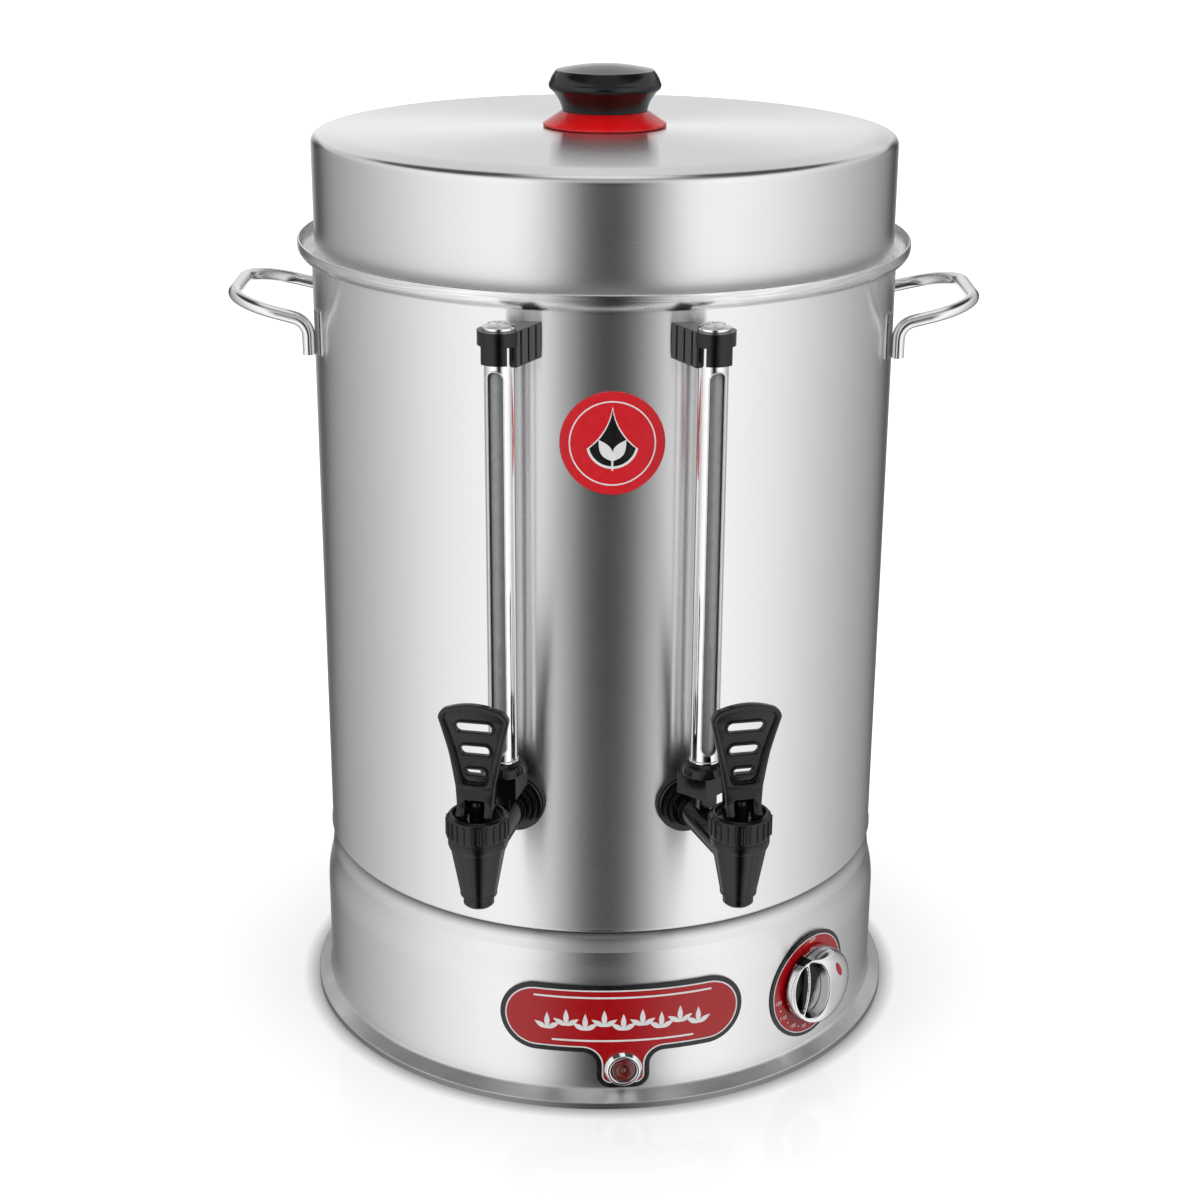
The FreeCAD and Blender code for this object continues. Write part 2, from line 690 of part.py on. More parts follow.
def base_housing():
    shoulder_radius = s.body_radius
    corner = shoulder_radius - s.shoulder_round
    corner_low = base_top - s.shoulder_round
    swell_low = crease_height - s.shoulder_swell
    wall = s.sheet_wall
    flange_bore = shell_bore - s.fit_gap - s.flange_width
    body = turned("base_housing", [
        (flange_bore, base_top - wall), (corner, base_top - wall, s.shoulder_round - wall, -1),
        (shoulder_radius - wall, corner_low), (shoulder_radius - wall, crease_height, SWELL_CURVE, -1),
        (base_bore, swell_low), (base_bore, s.flare_top), (foot_radius - wall, s.hem_height),
        (foot_radius - wall, 0), (foot_radius, 0),
        (foot_radius, s.hem_height + wall * 0.4), (base_radius, s.flare_top + wall * 0.4),
        (base_radius, swell_low, SWELL_CURVE, 1), (shoulder_radius, crease_height),
        (shoulder_radius, corner_low, s.shoulder_round, 1), (corner, base_top),
        (flange_bore, base_top)])
    holes = [
        ("dial_hole", s.dial_azimuth, s.dial_height, s.bush_radius + s.fit_gap),
        ("lamp_hole", s.plate_azimuth, s.lamp_height, s.lamp_body_radius + s.fit_gap),
        ("gland_hole", BACK_AZIMUTH, s.gland_height, s.gland_radius + s.fit_gap)]
    tools = []
    for name, azimuth, height, radius in holes:
        spot = radial(azimuth, base_radius, height).multiply(place(y=-HOLE_REACH, turn=TO_BACK))
        tools.append(cylinder(name, radius, HOLE_REACH * 2, spot))
    node(cut("base_housing", body, *tools), "base_housing")


def base_plate():
    radius = base_bore - s.plate_play
    body = new_body("base_plate")
    pad(body, "XY_Plane", lambda sk: circle(sk, 0, 0, radius), s.sheet_wall, lift=s.plate_height)
    body.Tip = body.Group[-1]
    hole = pocket(body, "XY_Plane", lambda sk: circle(sk, s.foot_ring * DIAGONAL, s.foot_ring * DIAGONAL,
                                                      s.screw_radius + s.fit_gap),
                  s.sheet_wall * 3, lift=s.plate_height - s.sheet_wall, reverse=True)
    around(body, hole, FEET)
    node(body, "base_plate")


def tie_brackets():
    """Four angle pieces that tie the base plate to the housing's wall."""
    depth = s.tab_size
    reach = base_bore - s.fit_gap * 4
    leg = box("tie_leg", depth, s.sheet_wall, depth, place())
    foot = box("tie_foot", depth, depth, s.sheet_wall, place())
    angle = fuse("tie_angle", leg, foot)
    spots = []
    for azimuth in TIE_AZIMUTHS:
        spots.append(radial(azimuth, reach, plate_top).multiply(place(x=-depth.number / 2)))
    node(group("tie_bracket_set", (angle, spots)), "tie_brackets")


def rubber_feet():
    radius = s.foot_pad_radius
    recess = s.screw_head + s.fit_gap
    body = turned("foot_pad", [
        (recess, 0), (radius - s.sheet_wall * 1.5, 0), (radius, s.plate_height),
        (s.screw_radius + s.fit_gap, s.plate_height),
        (s.screw_radius + s.fit_gap, s.plate_height / 2), (recess, s.plate_height / 2)])
    node(group("foot_pad_set", (body, foot_spots())), "rubber_feet")
    head = s.plate_height / 2 - s.fit_gap
    screw = turned("foot_screw", [
        (0, head - s.screw_radius), (s.screw_head, head - s.screw_radius), (s.screw_head, head),
        (s.screw_radius, head), (s.screw_radius, plate_top + s.screw_radius * 2.5),
        (0, plate_top + s.screw_radius * 2.5)])
    nut = hex_nut("foot_nut", s.screw_head, s.screw_radius + s.pin_play, s.screw_radius * 1.6)
    lifted = [spot.multiply(place(z=plain(plate_top))) for spot in foot_spots()]
    node(group("foot_screw_set", (screw, foot_spots()), (nut, lifted)), "foot_screws")


def foot_spots():
    spots = []
    for index in range(FEET):
        turn = spin(45 + index * FULL_TURN / FEET)
        spots.append(Placement(turn.multVec(Vector(plain(s.foot_ring), 0, 0)), turn))
    return spots


def hex_nut(name, half_flats, bore, high):
    """A six-sided nut that stands on the XY plane."""
    prism = doc.addObject("Part::Prism", name + "_prism")
    prism.Polygon = 6
    bind(prism, Circumradius=half_flats * 2 / root(Size(3, "3")), Height=high)
    hole = cylinder(name + "_bore", bore, high * 3, place(z=-plain(high)))
    return cut(name, prism, hole)


# Handles

def handle(side):
    across = 1 if side == RIGHT else -1
    standoff = plain(s.body_radius + s.pad_thick + s.fit_gap * 2 + s.handle_rod)
    half_wall = plain(s.handle_half + s.handle_splay)
    half_end = plain(s.handle_half)
    wall_x = math.sqrt(standoff ** 2 - half_wall ** 2)
    end_x = plain(s.body_radius + s.handle_reach)
    bend_z = plain(shell_top - s.handle_drop)
    end_z = bend_z + plain(s.handle_rise)
    leg_z = bend_z - plain(s.handle_leg)
    points = [
        (across * wall_x, -half_wall, leg_z), (across * wall_x, -half_wall, bend_z),
        (across * end_x, -half_end, end_z), (across * end_x, half_end, end_z),
        (across * wall_x, half_wall, bend_z), (across * wall_x, half_wall, leg_z)]
    name = "handle_" + side
    node(shaped(name + "_rod", rod(points, HANDLE_BENDS, plain(s.handle_rod))), name)


def handle_pads():
    """Strips welded between the handle legs and the shell."""
    inner = s.body_radius + s.fit_gap
    low = shell_top - s.handle_drop - s.handle_leg
    tube = turned("pad_tube", [
        (inner, low), (inner + s.pad_thick, low),
        (inner + s.pad_thick, low + PAD_HIGH), (inner, low + PAD_HIGH)])
    half_wall = plain(s.handle_half + s.handle_splay)
    strips = []
    for x in (-1, 1):
        for y in (-1, 1):
            spot = place(x * plain(s.body_radius) - PAD_WIDE * 2, y * half_wall - PAD_WIDE / 2, plain(low))
            strips.append(box("pad_strip", PAD_WIDE * 4, PAD_WIDE, PAD_HIGH, spot))
    node(common("handle_pads", tube, fuse("pad_strips", *strips)), "handle_pads")


# Lid with its knob

def lid_shell():
    wall = s.sheet_wall
    inner = lid_radius - wall
    bend = s.lid_round
    top = lid_top
    crown = s.lid_crown
    body = turned("lid_shell", [
        (s.lid_hole, top + crown - wall), (lid_radius - bend, top - wall, bend - wall, -1),
        (inner, top - bend), (inner, lid_low), (lid_radius, lid_low),
        (lid_radius, top - bend, bend, 1), (lid_radius - bend, top), (s.lid_hole, top + crown)])
    node(body, "lid_shell")


def lid_knob():
    seat = lid_top + s.lid_crown
    waist = seat + s.knob_base_height
    hole = s.knob_screw + s.fit_gap
    red = turned("knob_base", [
        (hole, seat), (s.knob_base_radius - s.sheet_wall, seat),
        (s.knob_base_radius, seat + s.knob_lip), (s.knob_waist, waist), (hole, waist)])
    node(red, "knob_base")
    flare = waist + s.knob_cap_flare
    rim = waist + s.knob_cap_height
    crown = rim + s.knob_cap_dome
    cap = turned("knob_cap", [
        (0, waist + s.knob_cap_flare), (hole, waist + s.knob_cap_flare), (hole, waist),
        (s.knob_waist, waist, CAP_HOLLOW, -1), (s.knob_cap_radius, flare, CAP_ROUND, 1),
        (s.knob_cap_top, rim, dome_radius(s.knob_cap_top, s.knob_cap_dome), 1), (0, crown)])
    node(cap, "knob_cap")
    under = lid_top + s.lid_crown - s.sheet_wall - s.fit_gap / 3
    screw = turned("knob_screw", [
        (0, under - KNOB_SCREW_HEAD), (s.screw_head * 1.6, under - KNOB_SCREW_HEAD),
        (s.screw_head * 1.6, under), (s.knob_screw, under), (s.knob_screw, flare - s.knob_lip),
        (0, flare - s.knob_lip)])
    node(screw, "knob_screw")


# Brewing pot and filter

def brew_pot():
    wall = s.pot_wall
    rim = lid_radius - s.sheet_wall - s.fit_gap * 3
    inner = pot_radius - wall
    body = turned("brew_pot", [
        (0, pot_bottom), (pot_radius, pot_bottom), (pot_radius, pot_low), (rim, pot_low),
        (rim, pot_low + wall), (inner, pot_low + wall), (inner, pot_bottom + wall), (0, pot_bottom + wall)])
    turn = tap_turn(LEFT)
    spot = radial(turn, s.spigot_ring, pot_bottom - s.spigot_length)
    tube = cylinder("spigot", s.spigot_radius, s.spigot_length + wall / 2, spot)
    bore = cylinder("spigot_bore", s.spigot_radius - wall * 1.5, s.spigot_length + wall * 4, spot)
    node(cut("brew_pot", fuse("pot_and_spigot", body, tube), bore), "brew_pot")


def filter_basket():
    wall = s.pot_wall
    rim = lid_radius - s.sheet_wall - s.fit_gap * 3
    low = pot_low + wall + s.fit_gap
    outer = pot_radius - wall - s.filter_play
    bottom = low - s.filter_depth
    body = turned("filter_basket", [
        (0, bottom), (outer, bottom), (outer, low), (rim, low), (rim, low + wall),
        (outer - wall, low + wall), (outer - wall, bottom + wall), (0, bottom + wall)])
    node(body, "filter_basket")


def tea_pipe():
    """Silicone pipe from the brewing pot's spigot to the left tap's shank."""
    turn = spin(tap_turn(LEFT))
    top = plain(pot_bottom - s.spigot_length + s.pipe_overlap)
    ring = plain(s.spigot_ring)
    end = plain(s.body_radius - s.shank_length + s.pipe_overlap)
    height = plain(tap_height)
    points = [turn.multVec(Vector(0, -r, z)) for r, z in ((ring, top), (ring, height), (end, height))]
    bend = (end - ring) * PIPE_BEND_SHARE
    outer = plain(pipe_bore + s.pipe_wall)
    node(shaped("tea_pipe_tube", rod(points, [bend], outer, plain(pipe_bore))), "tea_pipe")


# Taps and level gauges

def tap_turn(side):
    return plain(s.tap_azimuth) * (1 if side == RIGHT else -1)


def tap_frame(side):
    """The tap's frame: origin in the flange's middle on the shell, -Y along the arm."""
    sign = 1 if side == RIGHT else -1
    yaw = plain(s.tap_yaw_right if side == RIGHT else s.tap_yaw_left) * sign
    return radial(tap_turn(side), s.body_radius, tap_height).multiply(place(turn=spin(yaw)))


def valve_frame(side):
    """On the valve's axis, at the flange's height."""
    return tap_frame(side).multiply(place(y=-plain(s.tap_reach)))


def paddle_frame(side):
    """On the valve's axis at the pin's height, turned with the paddle."""
    turn = plain(s.paddle_turn_left) if side == LEFT else -plain(s.paddle_turn_right)
    return valve_frame(side).multiply(place(z=plain(nut_floor + s.pin_above), turn=spin(turn)))


def tap_body(side):
    frame = tap_frame(side)
    wall_frame = radial(tap_turn(side), s.body_radius, tap_height)
    valve = valve_frame(side)
    name = "tap_body_" + side
    back = s.gasket_thick
    step = s.flange_step
    parts = []
    for index in range(FLANGE_RINGS):
        start = plain(back + step * index)
        parts.append(cylinder(name + "_ring", s.flange_radius - step * index, step,
                              wall_frame.multiply(place(y=-start, turn=TO_FRONT))))
    shank = cylinder(name + "_shank", s.shank_radius, s.shank_length + back,
                     wall_frame.multiply(place(y=-plain(back), turn=TO_BACK)))
    fall = math.degrees(math.atan2(plain(s.arm_drop), plain(s.tap_reach)))
    slope = Rotation(Vector(1, 0, 0), 90 + fall)
    arm_length = plain(s.tap_reach) / math.cos(math.radians(fall))
    arm = cylinder(name + "_arm", s.arm_radius, arm_length, frame.multiply(place(turn=slope)))
    trim = cylinder(name + "_trim", s.flange_radius * 2, back + step,
                    wall_frame.multiply(place(turn=TO_FRONT)))
    arm = cut(name + "_arm_only", arm, trim)
    cup = turned(name + "_cone", [
        (0, -s.spout_length - s.tip_length), (s.tip_radius - TIP_ROUND, -s.spout_length - s.tip_length),
        (s.tip_radius, -s.spout_length - s.tip_length + TIP_ROUND), (s.tip_radius, -s.spout_length),
        (s.spout_low, -s.spout_length), (s.spout_top, s.nut_low - s.collar_high),
        (s.collar_radius, s.nut_low - s.collar_high), (s.collar_radius, s.nut_low), (0, s.nut_low)])
    cup.Placement = valve
    chamber = cylinder(name + "_chamber", s.seat_radius, s.seat_depth + s.nut_low + s.fit_gap,
                       valve.multiply(place(z=-plain(s.seat_depth))))
    outlet = cylinder(name + "_outlet", s.outlet_radius, s.spout_length * 2,
                      valve.multiply(place(z=-plain(s.spout_length * 1.5))))
    water_out = cylinder(name + "_water_out", s.bore_radius, arm_length, frame.multiply(place(turn=slope)))
    water_in = cylinder(name + "_water_in", s.bore_radius, s.shank_length * 2,
                        wall_frame.multiply(place(y=-plain(step), turn=TO_BACK)))
    solid = fuse(name, shank, arm, cup, *parts)
    node(cut(name, solid, chamber, outlet, water_out, water_in), name)


def tap_seals(side):
    """Outer gasket and inner nut that clamp the tap to the shell."""
    wall_frame = radial(tap_turn(side), s.body_radius, tap_height)
    name = "tap_gasket_" + side
    disc = cylinder(name + "_disc", s.gasket_radius, s.gasket_thick * 2,
                    wall_frame.multiply(place(y=-plain(s.gasket_thick), turn=TO_BACK)))
    hole = cylinder(name + "_hole", s.shank_radius + s.fit_gap, s.gasket_thick * 4,
                    wall_frame.multiply(place(y=-plain(s.gasket_thick) * 2, turn=TO_BACK)))
    barrel = cylinder(name + "_barrel", s.body_radius + s.fit_gap, s.gasket_radius * 4,
                      place(z=plain(tap_height - s.gasket_radius * 2)))
    node(cut(name, disc, hole, barrel), name)
    nut_name = "tap_back_nut_" + side
    nut = hex_nut(nut_name + "_blank", s.gasket_radius * 0.8, s.shank_radius + s.pin_play * 2,
                  s.shank_radius * 0.75)
    start = plain(s.body_radius) - math.sqrt(plain(shell_bore) ** 2 - plain(s.gasket_radius) ** 2)
    nut.Placement = wall_frame.multiply(place(y=start, turn=TO_BACK))
    node(nut, nut_name)


def tap_nut(side):
    name = "tap_bonnet_nut_" + side
    floor_low = nut_floor - s.collar_high
    top = s.nut_low + s.nut_high
    body = turned(name, [
        (s.stem_radius + s.fit_gap, floor_low), (s.nut_mouth, floor_low), (s.nut_mouth, s.nut_low),
        (s.nut_radius, s.nut_low), (s.nut_radius, top - NUT_ROUND, NUT_ROUND, 1),
        (s.nut_radius - NUT_ROUND, top), (s.nut_mouth, top), (s.nut_mouth, nut_floor),
        (s.stem_radius + s.fit_gap, nut_floor)])
    rib = pad(body, "XY_Plane", lambda sk: outline(sk, [
        (s.nut_radius - s.rib_proud, -s.rib_half), (s.nut_radius + s.rib_proud, -s.rib_half * 0.6),
        (s.nut_radius + s.rib_proud, s.rib_half * 0.6), (s.nut_radius - s.rib_proud, s.rib_half)]),
        s.nut_high - NUT_ROUND * 1.6, lift=s.nut_low)
    around(body, rib, NUT_RIBS)
    body.Placement = valve_frame(side)
    node(body, name)


def tap_stem(side):
    valve = valve_frame(side)
    pin_height = nut_floor + s.pin_above
    name = "tap_stem_" + side
    cup_top = -s.seat_depth + s.cup_high + s.fit_gap
    body = turned(name, [
        (0, cup_top - s.cup_high / 2), (s.stem_radius, cup_top - s.cup_high / 2),
        (s.stem_radius, nut_floor + s.fit_gap), (s.stem_head, nut_floor + s.fit_gap + s.fit_gap),
        (s.stem_head, pin_height + s.stem_head), (0, pin_height + s.stem_head)])
    body.Placement = valve
    hole = cylinder(name + "_pin_hole", s.pin_radius + s.pin_play, s.stem_head * 4,
                    paddle_frame(side).multiply(place(x=-plain(s.stem_head) * 2,
                                                      turn=Rotation(Vector(0, 1, 0), 90))))
    node(cut(name, body, hole), name)
    cup_name = "tap_seat_cup_" + side
    low = -s.seat_depth + s.fit_gap
    cup = turned(cup_name, [
        (0, low), (s.cup_radius - s.sheet_wall, low), (s.cup_radius, low + s.sheet_wall),
        (s.cup_radius, low + s.cup_high / 3), (s.stem_radius + s.sheet_wall * 1.5, cup_top),
        (s.stem_radius + s.fit_gap / 3, cup_top), (s.stem_radius + s.fit_gap / 3, cup_top - s.cup_high / 2),
        (0, cup_top - s.cup_high / 2)])
    cup.Placement = valve
    node(cup, cup_name)
    pin_name = "tap_lever_pin_" + side
    reach = s.fork_half - s.fit_gap
    pin = cylinder(pin_name, s.pin_radius, reach * 2,
                   paddle_frame(side).multiply(place(x=-plain(reach),
                                                     turn=Rotation(Vector(0, 1, 0), 90))))
    node(pin, pin_name)


def tap_lever(side):
    """Paddle with two prongs. Its front outline meets its side profile."""
    name = "tap_lever_" + side
    heel = s.pin_above - s.fit_gap
    top = s.paddle_height
    lean = s.paddle_lean
    half = s.paddle_thick / 2
    neck, widest, crown_edge = [top * share for share in PADDLE_LEVELS]
    crown = s.paddle_half * PADDLE_CROWN
    front = new_body(name + "_front")
    pad(front, "XZ_Plane", lambda sk: outline(sk, [
        (-s.fork_half, -heel), (s.fork_half, -heel), (s.fork_half, heel),
        (s.paddle_neck, neck, PADDLE_FLARE, -1), (s.paddle_half, widest, PADDLE_CORNER, 1),
        (crown, crown_edge, PADDLE_TOP, 1), (-crown, crown_edge, PADDLE_CORNER, 1),
        (-s.paddle_half, widest, PADDLE_FLARE, -1), (-s.paddle_neck, neck), (-s.fork_half, heel)]),
        s.paddle_height,
        lift=-s.paddle_height / 2)
    profile = new_body(name + "_profile")
    pad(profile, "YZ_Plane", lambda sk: outline(sk, [
        (-s.cam_offset, -heel, heel, 1), (-s.cam_offset + heel * 0.8, -heel * 0.6),
        (half, heel), (half - lean * 0.2, top * 0.5), (half - lean, top * 1.03),
        (-half - lean, top * 1.03), (-half - lean * 0.2 - half * 0.6, top * 0.5),
        (-s.cam_offset - heel * 0.55, heel), (-s.cam_offset - heel, 0, heel, 1)]), s.paddle_half * 2,
        lift=-s.paddle_half)
    eye = cylinder(name + "_eye", s.eye_radius, s.fork_half * 2,
                   place(x=-plain(s.fork_half), turn=Rotation(Vector(0, 1, 0), 90)))
    blank = fuse(name + "_blank", common(name + "_blade", front, profile), eye)
    cuts = [box(name + "_window", s.fork_gap * 2, s.paddle_height, s.paddle_height * PADDLE_WINDOW + heel * 2,
                place(-plain(s.fork_gap), -plain(top) / 2, -plain(heel) * 2)),
            cylinder(name + "_bore", s.pin_radius + s.pin_play, s.fork_half * 4,
                     place(x=-plain(s.fork_half) * 2, turn=Rotation(Vector(0, 1, 0), 90)))]
    for below, half_wide, half_high in PADDLE_SLOTS:
        slot = new_body(name + "_slot")
        centre = top - below
        pad(slot, "XZ_Plane", lambda sk: oblong(sk, Size(0, "0"), centre, Size(half_wide, repr(half_wide)),
                                                Size(half_high, repr(half_high))),
            s.paddle_height, lift=-s.paddle_height / 2)
        cuts.append(slot)
    lever = cut(name, blank, *cuts)
    lever.Placement = paddle_frame(side)
    node(lever, name)


def gauge_frame(side):
    """On the gauge's axis at the flange's height, turned with the arm."""
    return tap_frame(side).multiply(place(y=-plain(s.gauge_out)))


def gauge_wall_frame(side):
    """On the gauge's axis, turned towards the urn's axis."""
    spot = gauge_frame(side).Base
    azimuth = math.degrees(math.atan2(spot.x, -spot.y))
    return radial(azimuth, math.hypot(spot.x, spot.y), tap_height)


def gauge_socket(side):
    name = "gauge_socket_" + side
    turn = plain(s.socket_turn_right) if side == RIGHT else 0
    axis = gauge_frame(side)
    spot = axis.multiply(place(y=plain(s.socket_back), turn=spin(turn)))
    slope = plain(s.arm_drop) / plain(s.tap_reach)
    high_side = slope * (plain(s.gauge_out) - plain(s.stub_half))
    stub_low = plain(s.arm_radius) - high_side + plain(s.fit_gap)
    stub = box(name + "_stub", s.stub_half * 2, s.stub_half * 2, plain(s.socket_low) - stub_low + 1,
               axis.multiply(place(-plain(s.stub_half), -plain(s.stub_half), stub_low)))
    block = box(name + "_block", s.socket_half * 2, s.socket_half * 2, s.socket_high,
                spot.multiply(place(-plain(s.socket_half), -plain(s.socket_half), plain(s.socket_low))))
    dome_low = s.socket_low + s.socket_high
    dome = turned(name + "_dome", [
        (0, dome_low), (s.dome_radius, dome_low, DOME_ROUND, 1),
        (s.shield_radius + s.sheet_wall * 0.6, dome_low + s.dome_high), (0, dome_low + s.dome_high)])
    dome.Placement = axis
    bore = cylinder(name + "_bore", s.gauge_tube + s.pin_play * 2, s.socket_high * 3,
                    axis.multiply(place(z=plain(s.socket_low) + SOCKET_FLOOR)))
    node(cut(name, fuse(name, stub, block, dome), bore), name)


def gauge_glass(side):
    spot = gauge_wall_frame(side)
    low = s.socket_low + SOCKET_FLOOR
    top = cap_low - tap_height - s.fit_gap
    name = "gauge_tube_" + side
    tube = turned(name, [(s.gauge_bore, low), (s.gauge_tube, low), (s.gauge_tube, top), (s.gauge_bore, top)])
    tube.Placement = spot
    node(tube, name)
    name = "gauge_shield_" + side
    inner = s.shield_radius - s.shield_wall
    start = shield_low - tap_height
    body = turned(name, [(inner, start), (s.shield_radius, start), (s.shield_radius, top), (inner, top)])
    slot_low = start + s.slot_margin_low
    slot_top = top - s.slot_margin_top
    half = s.slot_half
    pocket(body, "XZ_Plane", lambda sk: outline(sk, [
        (-half, slot_low + half, half, 1), (half, slot_low + half), (half, slot_top - half, half, 1),
        (-half, slot_top - half)]), s.shield_radius * 2, reverse=True)
    body.Placement = spot
    node(body, name)


def gauge_bracket(side):
    """Ring round the shield with a block to the wall, and the chrome cap on it."""
    name = "gauge_bracket_" + side
    spot = gauge_wall_frame(side)
    inner_side = -1 if side == RIGHT else 1
    top = cap_low - tap_height
    ring = turned(name + "_ring", [
        (0, top - s.bracket_ring_high), (s.bracket_ring, top - s.bracket_ring_high),
        (s.bracket_ring, top), (0, top)])
    ring.Placement = spot
    sleeve = cylinder(name + "_sleeve", s.bracket_ring - s.sheet_wall * 0.5, s.bracket_sleeve_high,
                      spot.multiply(place(z=plain(top - s.bracket_sleeve_high))))
    front = box(name + "_front", s.bracket_ring * 2, s.bracket_ring, s.bracket_sleeve_high,
                spot.multiply(place(-plain(s.bracket_ring), -plain(s.bracket_ring) + SLEEVE_BACK,
                                    plain(top - s.bracket_ring_high - s.bracket_sleeve_high))))
    near = s.bracket_block_off * inner_side
    far = (s.bracket_block_off + s.bracket_block_wide) * inner_side
    wall = (s.bracket_block_off + s.bracket_block_wide + s.bracket_block_grow) * inner_side
    reach = s.gauge_out * 1.5
    block = new_body(name + "_block")
    pad(block, "XY_Plane", lambda sk: outline(sk, [
        (near, -s.bracket_block_wide * 0.5), (far, -s.bracket_block_wide * 0.5), (wall, s.gauge_out),
        (wall, reach), (near, reach)]), s.bracket_block_high, lift=top - s.bracket_block_high)
    block.Placement = spot
    hole = cylinder(name + "_hole", s.shield_radius + s.fit_gap, s.bracket_sleeve_high * 3,
                    spot.multiply(place(z=plain(top - s.bracket_sleeve_high * 2))))
    barrel = cylinder(name + "_barrel", s.body_radius + s.fit_gap, s.bracket_block_high * 3,
                      place(z=plain(shell_top - s.bracket_block_high * 2)))
    solid = fuse(name, ring, cut(name + "_sleeve_back", sleeve, front), block)
    node(cut(name, solid, hole, barrel), name)
    name = "gauge_cap_" + side
    plug = s.gauge_bore - s.fit_gap
    cap = turned(name, [
        (0, top - s.cap_radius), (plug, top - s.cap_radius), (plug, top), (s.cap_radius, top),
        (s.cap_radius, top + s.cap_high / 2, dome_radius(s.cap_radius, s.cap_high / 2), 1),
        (0, top + s.cap_high)])
    cap.Placement = spot
    node(cap, name)


# Labels

def wrapped(name, radius, azimuth, draw):
    """A thin plate wrapped on a wall of a given radius. Draw gives its outline as (across, height)."""
    inner = radius + s.fit_gap
    tall = s.base_height * 5
    tube = turned(name + "_tube", [
        (inner, 0), (inner + s.label_thick, 0), (inner + s.label_thick, tall), (inner, tall)])
    tube.Placement = place()
    face = new_body(name + "_face")
    pad(face, "XZ_Plane", draw, s.body_radius * 2)
    face.Placement = place(turn=spin(azimuth))
    node(common(name, tube, face), name)


def round_label():
    centre = shell_top - s.badge_below
    wrapped("round_label", s.body_radius, s.badge_azimuth,
            lambda sk: circle(sk, 0, centre, s.badge_radius))


def name_plate():
    """Band with round ends and a tab below it that holds the lamp."""
    low, high = s.plate_low, s.plate_low + s.plate_band
    half_band = s.plate_band / 2
    straight = s.plate_half - half_band
    fillet = s.tab_round
    hole = s.lamp_body_radius + s.fit_gap

    def draw(sk):
        outline(sk, [
            (straight, low, half_band, 1), (straight, high), (-straight, high, half_band, 1),
            (-straight, low), (-s.tab_half - fillet, low, fillet, -1), (-s.tab_half, low - fillet),
            (-s.tab_half, s.tab_low + fillet, fillet, 1), (-s.tab_half + fillet, s.tab_low),
            (s.tab_half - fillet, s.tab_low, fillet, 1), (s.tab_half, s.tab_low + fillet),
            (s.tab_half, low - fillet, fillet, -1), (s.tab_half + fillet, low)])
        circle(sk, 0, s.lamp_height, hole)
    wrapped("name_plate", base_radius, s.plate_azimuth, draw)


def dial_plate():
    def draw(sk):
        circle(sk, 0, s.dial_height, s.dial_radius)
        circle(sk, 0, s.dial_height, s.bush_radius + s.fit_gap)
    wrapped("dial_plate", base_radius, s.dial_azimuth, draw)


# Thermostat, lamp and cable inlet

def thermostat():
    spot = radial(s.dial_azimuth, base_radius, s.dial_height)
    back = plain(s.sheet_wall) + THERMOSTAT_STANDOFF
    proud = s.label_thick + s.fit_gap * 3
    bush = cylinder("thermostat_bush", s.bush_radius, back + s.fit_gap * 2 + proud,
                    spot.multiply(place(y=-plain(proud), turn=TO_BACK)))
    case = cylinder("thermostat_case", s.thermostat_radius, s.thermostat_depth,
                    spot.multiply(place(y=back, turn=TO_BACK)))
    bore = cylinder("thermostat_bore", s.shaft_radius + s.pin_play, s.thermostat_depth,
                    spot.multiply(place(y=-plain(proud) * 2, turn=TO_BACK)))
    node(cut("thermostat_body", fuse("thermostat", bush, case), bore), "thermostat_body")
    tip = control_seat + control_socket - s.fit_gap
    shaft = cylinder("control_shaft_rod", s.shaft_radius, tip + THERMOSTAT_STANDOFF * 1.5,
                     spot.multiply(place(y=-plain(tip), turn=TO_BACK)))
    node(shaft, "control_shaft")
    capillary(spot, back)


def capillary(spot, back):
    """Copper tube from the thermostat to its bulb under the tank floor."""
    rear = back + plain(s.thermostat_depth)
    high = plain(tank_floor_top - s.sheet_wall - s.fit_gap) - BULB_RADIUS - plain(s.dial_height)
    points = [spot.multVec(Vector(0, y, z)) for y, z in
              ((rear, 0), (rear + BULB_RUN, 0), (rear + BULB_RUN, high), (rear + BULB_RUN * 2, high))]
    tube = rod(points, [BULB_RUN * 0.45, BULB_RUN * 0.45], CAPILLARY_RADIUS)
    bulb = Part.makeCylinder(BULB_RADIUS, BULB_LENGTH, points[-1], (points[-1] - points[-2]))
    node(shaped("capillary_and_bulb", tube.fuse(bulb)), "thermostat_capillary")


def knob_ring(left, right, half, raised=0.0, share=1.0):
    """A closed curve across the knob, from a left to a right place (across, out), half its length high."""
    middle = (Vector(*left, 0) + Vector(*right, 0)) / 2
    reach = (Vector(*right, 0) - Vector(*left, 0)) / 2 * share
    points = []
    for index in range(KNOB_POINTS):
        turn = math.radians(FULL_TURN) * index / KNOB_POINTS
        across, out, _ = middle + reach * math.cos(turn)
        points.append(Vector(across, -out - raised, plain(s.control_lift) + half * share * math.sin(turn)))
    curve = Part.BSplineCurve()
    curve.interpolate(points, PeriodicFlag=True)
    return Part.Wire(curve.toShape())


